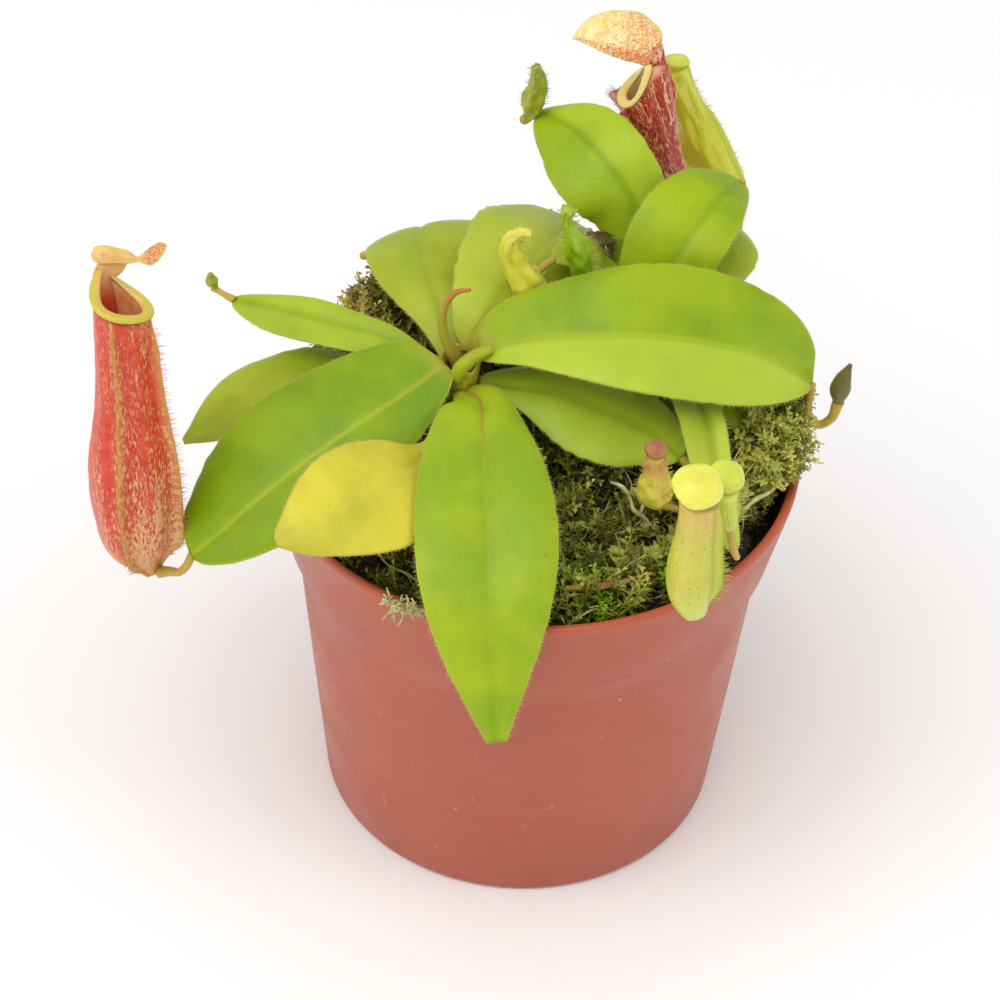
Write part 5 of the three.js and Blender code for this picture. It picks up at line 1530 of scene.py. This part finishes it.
for bud in BUDS:
    kind, slot, ridges = BUD_DRESS[bud["name"]]
    line = Line(bud["axis"])
    shape = Shape()
    phase = len(bud["name"])
    folds = BUD_FOLDS.get(bud["name"], (5, 0.02, 0.06))
    up = np.array([0.3, 0.2, 1.0])
    turns = [math.radians(degrees) for degrees in bud.get("fin_bearings", [])]
    rows = []
    for i in range(-FOOT_STEPS, BUD_STEPS + 1):
        t = max(i, 0) / BUD_STEPS
        below = max(-i, 0) / FOOT_STEPS
        along = line.along(t)
        up, side = square(up, along)
        taper = math.cos(below * math.pi / 2.2)
        sink = -0.45 * profile(bud["radii"], 0) * math.sin(below * math.pi / 2)
        row = []
        for k in range(BUD_SIDES):
            turn = math.tau * k / BUD_SIDES
            lobe = folds[1] * math.sin(folds[0] * turn + phase + 2 * t)
            lobe += folds[2] * noise.noise((math.cos(turn) * 1.6, math.sin(turn) * 1.6, t * 6 + phase))
            fin = 0.0
            for at in turns:
                off = abs((turn - at + math.pi) % math.tau - math.pi)
                fin = max(fin, math.exp(-((off / 0.17) ** 2)))
            r = taper * (profile(bud["radii"], t) * (1 + lobe) + fin * profile(bud.get("fin", [0, 0]), t))
            place = line.at(t) + side * (r * math.cos(turn)) + up * (r * math.sin(turn)) + along * sink
            flat = (t * line.length, r * math.cos(turn), r * math.sin(turn))
            row.append(shape.point(place, flat=flat, t=t, fin=fin))
        rows.append(row)
    shape.skin(rows)
    shape.piece(bud["name"] + "_body", BUD_LOOKS[kind], slot, bud["name"])
    for degrees, low, high, size in ridges:
        way_out = np.array([math.cos(math.radians(degrees)), math.sin(math.radians(degrees)), 0])
        fin_high = bud.get("fin", [0, 0]) if turns else [0, 0]

        def ridge_root(share, line=line, bud=bud, way_out=way_out, low=low, high=high, fin_high=fin_high):
            t = lerp(low, high, share)
            out, _ = square(way_out, line.along(t))
            reach = profile(bud["radii"], t) * 0.97 + profile(fin_high, t) * 0.9
            return line.at(t) + out * reach, out, line.along(t)

        count = int((high - low) * line.length * 2.6)
        bristles(pale_fringe, ridge_root, count, size * 1.25, 0.22, phase + 200 + int(degrees), 0.085)

# The lids that are still shut: the middle of each dome, its half sizes, and its turns about x and y.
CAPS = [
    dict(name="lid_pale_front", at=[24.8, -45, 106.5], size=[4, 3.8, 2.2], tilt=[0.35, 0.05]),
    dict(name="lid_pale_right", at=[29.7, -37.8, 102.4], size=[2.9, 2.7, 1.9], tilt=[0.3, 0.3]),
    dict(name="lid_small", at=[19.3, -22, 93.2], size=[1.9, 1.8, 1.5], tilt=[0.2, 0.1]),
    dict(name="lid_green_back", at=[21.8, 54.8, 113.9], size=[2.3, 1.7, 0.8], tilt=[0.1, 0]),
]
CAP_DRESS = {
    "lid_pale_front": ("cap_pale", "lid"),
    "lid_pale_right": ("cap_lime", "lid"),
    "lid_small": ("cap_brown", "lid"),
    "lid_green_back": ("lime", "pale_pitcher"),
}
CAP_RINGS, CAP_SIDES = 26, 48
for cap in CAPS:
    shape = Shape()
    a, b = cap["tilt"]
    turned = Matrix.Rotation(b, 3, "Y") @ Matrix.Rotation(a, 3, "X")
    rows = []
    for i in range(1, CAP_RINGS):
        low = math.pi * i / CAP_RINGS
        row = []
        for k in range(CAP_SIDES):
            turn = math.tau * k / CAP_SIDES
            ball = (math.sin(low) * math.cos(turn), math.sin(low) * math.sin(turn), -math.cos(low))
            lump = 1 + 0.03 * math.sin(4 * turn + 2 * low) * math.sin(low)
            lump += 0.05 * noise.noise([c * 1.4 for c in ball])
            local = turned @ Vector([c * s * lump for c, s in zip(ball, cap["size"])])
            flat = tuple(c * s for c, s in zip(ball, cap["size"]))
            row.append(shape.point(np.array(cap["at"]) + np.array(local), flat=flat, t=i / CAP_RINGS))
        rows.append(row)
    shape.skin(rows)
    look, slot = CAP_DRESS[cap["name"]]
    shape.piece(cap["name"] + "_dome", BUD_LOOKS[look], slot, cap["name"])
    neck = Shape()
    body = next(bud for bud in BUDS if bud["name"] == cap["name"].replace("lid_", "pitcher_"))
    top = Line(body["axis"])
    thick = [body["radii"][-1] * 0.8, cap["size"][0] * 0.55]
    tube(neck, Line([top.at(0.95), top.at(1), cap["at"]]), thick, sides=20, steps=6)
    neck.piece(cap["name"] + "_neck", BUD_LOOKS[BUD_DRESS[body["name"]][0]], slot)
scatter("pitcher_bristles_red", hair, red_fringe, red_hair, "red_pitcher")
scatter("pitcher_bristles_pale", hair, pale_fringe, green_hair, "pale_pitcher")


# Odds and ends on the moss: pale dead strands at the front and right, a brown twig, and a dry tuft of
# moss threads that hangs over the lip at the front left.
STRANDS = [
    (
        [
            (12.7, -14.6, 79), (14.6, -15.6, 79), (16, -17.1, 78), (16.7, -18.9, 77), (18.4, -19.4, 76),
            (19.4, -19.9, 75),
        ],
        0.5,
    ),
    ([(19.3, -13.9, 77), (18.5, -16.3, 77), (17.8, -18.9, 76)], 0.4),
    ([(34, -18.2, 76.5), (36.5, -15.7, 77.5), (39, -13.6, 77.5), (41.1, -9.5, 77), (43.2, -7.8, 76)], 0.5),
    ([(38.6, -9.1, 80), (39.9, -10.8, 79), (42, -10.9, 77)], 0.45),
]
litter, n, shader = material("litter_dry", 0.7)
flat = n.place()
finish(n, shader, n.mix(n.band(n.noise(flat, 0.9, 3), 0.35, 0.65), tone("a8a060"), tone("d4cc94")))
strands = Shape()
for points, thick in STRANDS:
    radii = [thick * share for share in (0.4, 0.8, 0.55, 0.9, 0.25)]
    tube(strands, Line(points), radii, sides=10, steps=30)
TUFT_THREADS, TUFT_ENDS = 70, (np.array([-21.8, -40.4, 74.2]), np.array([-17.2, -42.2, 74.2]))
dice = np.random.default_rng(77)
for _ in range(TUFT_THREADS):
    start = lerp(*TUFT_ENDS, dice.random()) + dice.normal(size=3) * (0.5, 0.5, 0.3)
    way = np.array([dice.normal() * 0.9, dice.normal() * 0.9 - 0.6, dice.random() * 0.9])
    curl = start + way * 0.6 + (0, 0, 0.5)
    tip = start + way * 1.3 + dice.normal(size=3) * 0.4
    tube(strands, Line([start, curl, tip]), [0.14, 0.2, 0.1], sides=6, steps=8)
strands.piece("litter_strands", litter, "moss")
bark_brown, n, shader = material("twig_brown", 0.7)
flat = n.place()
colour = n.mix(n.band(n.noise(flat, 0.8, 3), 0.4, 0.6), tone("8a5a24"), tone("b8843c"))
finish(n, shader, colour, n.noise(flat, 2, 3), 0.1)
twig = Shape()
TWIG = [(5.1, -35.9, 74.8), (9.8, -35.7, 75.3), (14.6, -34.6, 75.6), (19.7, -32.3, 75.8)]
tube(twig, Line(TWIG), [0.5, 0.6, 0.5, 0.3], sides=10, steps=30)
twig.piece("litter_twig", bark_brown, "moss")


# The camera looks at the plant from the front, 42.6 degrees above its base, tilted a little.
EYE_UP, EYE_REACH, EYE_ROLL = math.radians(42.63), 0.6, math.radians(2.51)
EYE_AIM, EYE_LENS = (-0.00515, 0, 0.06054), 127.12
back = Vector((0, -math.cos(EYE_UP), math.sin(EYE_UP)))
level, rise = Vector((1, 0, 0)), Vector((0, math.sin(EYE_UP), math.cos(EYE_UP)))
right = level * math.cos(EYE_ROLL) + rise * math.sin(EYE_ROLL)
above = rise * math.cos(EYE_ROLL) - level * math.sin(EYE_ROLL)
eye = bpy.data.objects.new("eye", bpy.data.cameras.new("eye"))
eye.data.lens = EYE_LENS
eye.data.sensor_width = 36
facing = Matrix((right, above, back)).transposed().to_4x4()
eye.matrix_world = Matrix.Translation(Vector(EYE_AIM) + back * EYE_REACH) @ facing
scene.collection.objects.link(eye)
scene.camera = eye
scene.view_settings.view_transform = "Standard"


# A pale sheet of paper to stand on, a bright even sky and three soft lamps.
floor_mesh = bpy.data.meshes.new("floor")
floor_mesh.from_pydata([(-3, -3, 0), (3, -3, 0), (3, 3, 0), (-3, 3, 0)], [], [(0, 1, 2, 3)])
floor = bpy.data.objects.new("floor", floor_mesh)
floor_look, _, paper = material("floor_paper", 0.9)
paper.inputs["Base Color"].default_value = (0.975, 0.97, 0.965, 1)
floor_mesh.materials.append(floor_look)
scene.collection.objects.link(floor)
sky = bpy.data.worlds.new("sky")
scene.world = sky
sky.use_nodes = True
sky.node_tree.nodes["Background"].inputs["Color"].default_value = (1, 1, 1, 1)
sky.node_tree.nodes["Background"].inputs["Strength"].default_value = 0.68


def lamp(name, place, aim, size, power):
    light = bpy.data.lights.new(name, "AREA")
    light.size = size
    light.energy = power
    made = bpy.data.objects.new(name, light)
    made.location = place
    made.rotation_euler = (Vector(aim) - Vector(place)).to_track_quat("-Z", "Y").to_euler()
    scene.collection.objects.link(made)


lamp("top_lamp", (-0.25, -0.35, 1.1), (0, 0, 0.06), 0.9, 5.5)
lamp("left_lamp", (-0.9, -0.3, 0.5), (0, 0, 0.06), 0.7, 1.6)
lamp("right_lamp", (0.9, -0.2, 0.5), (0, 0, 0.06), 0.7, 1.6)
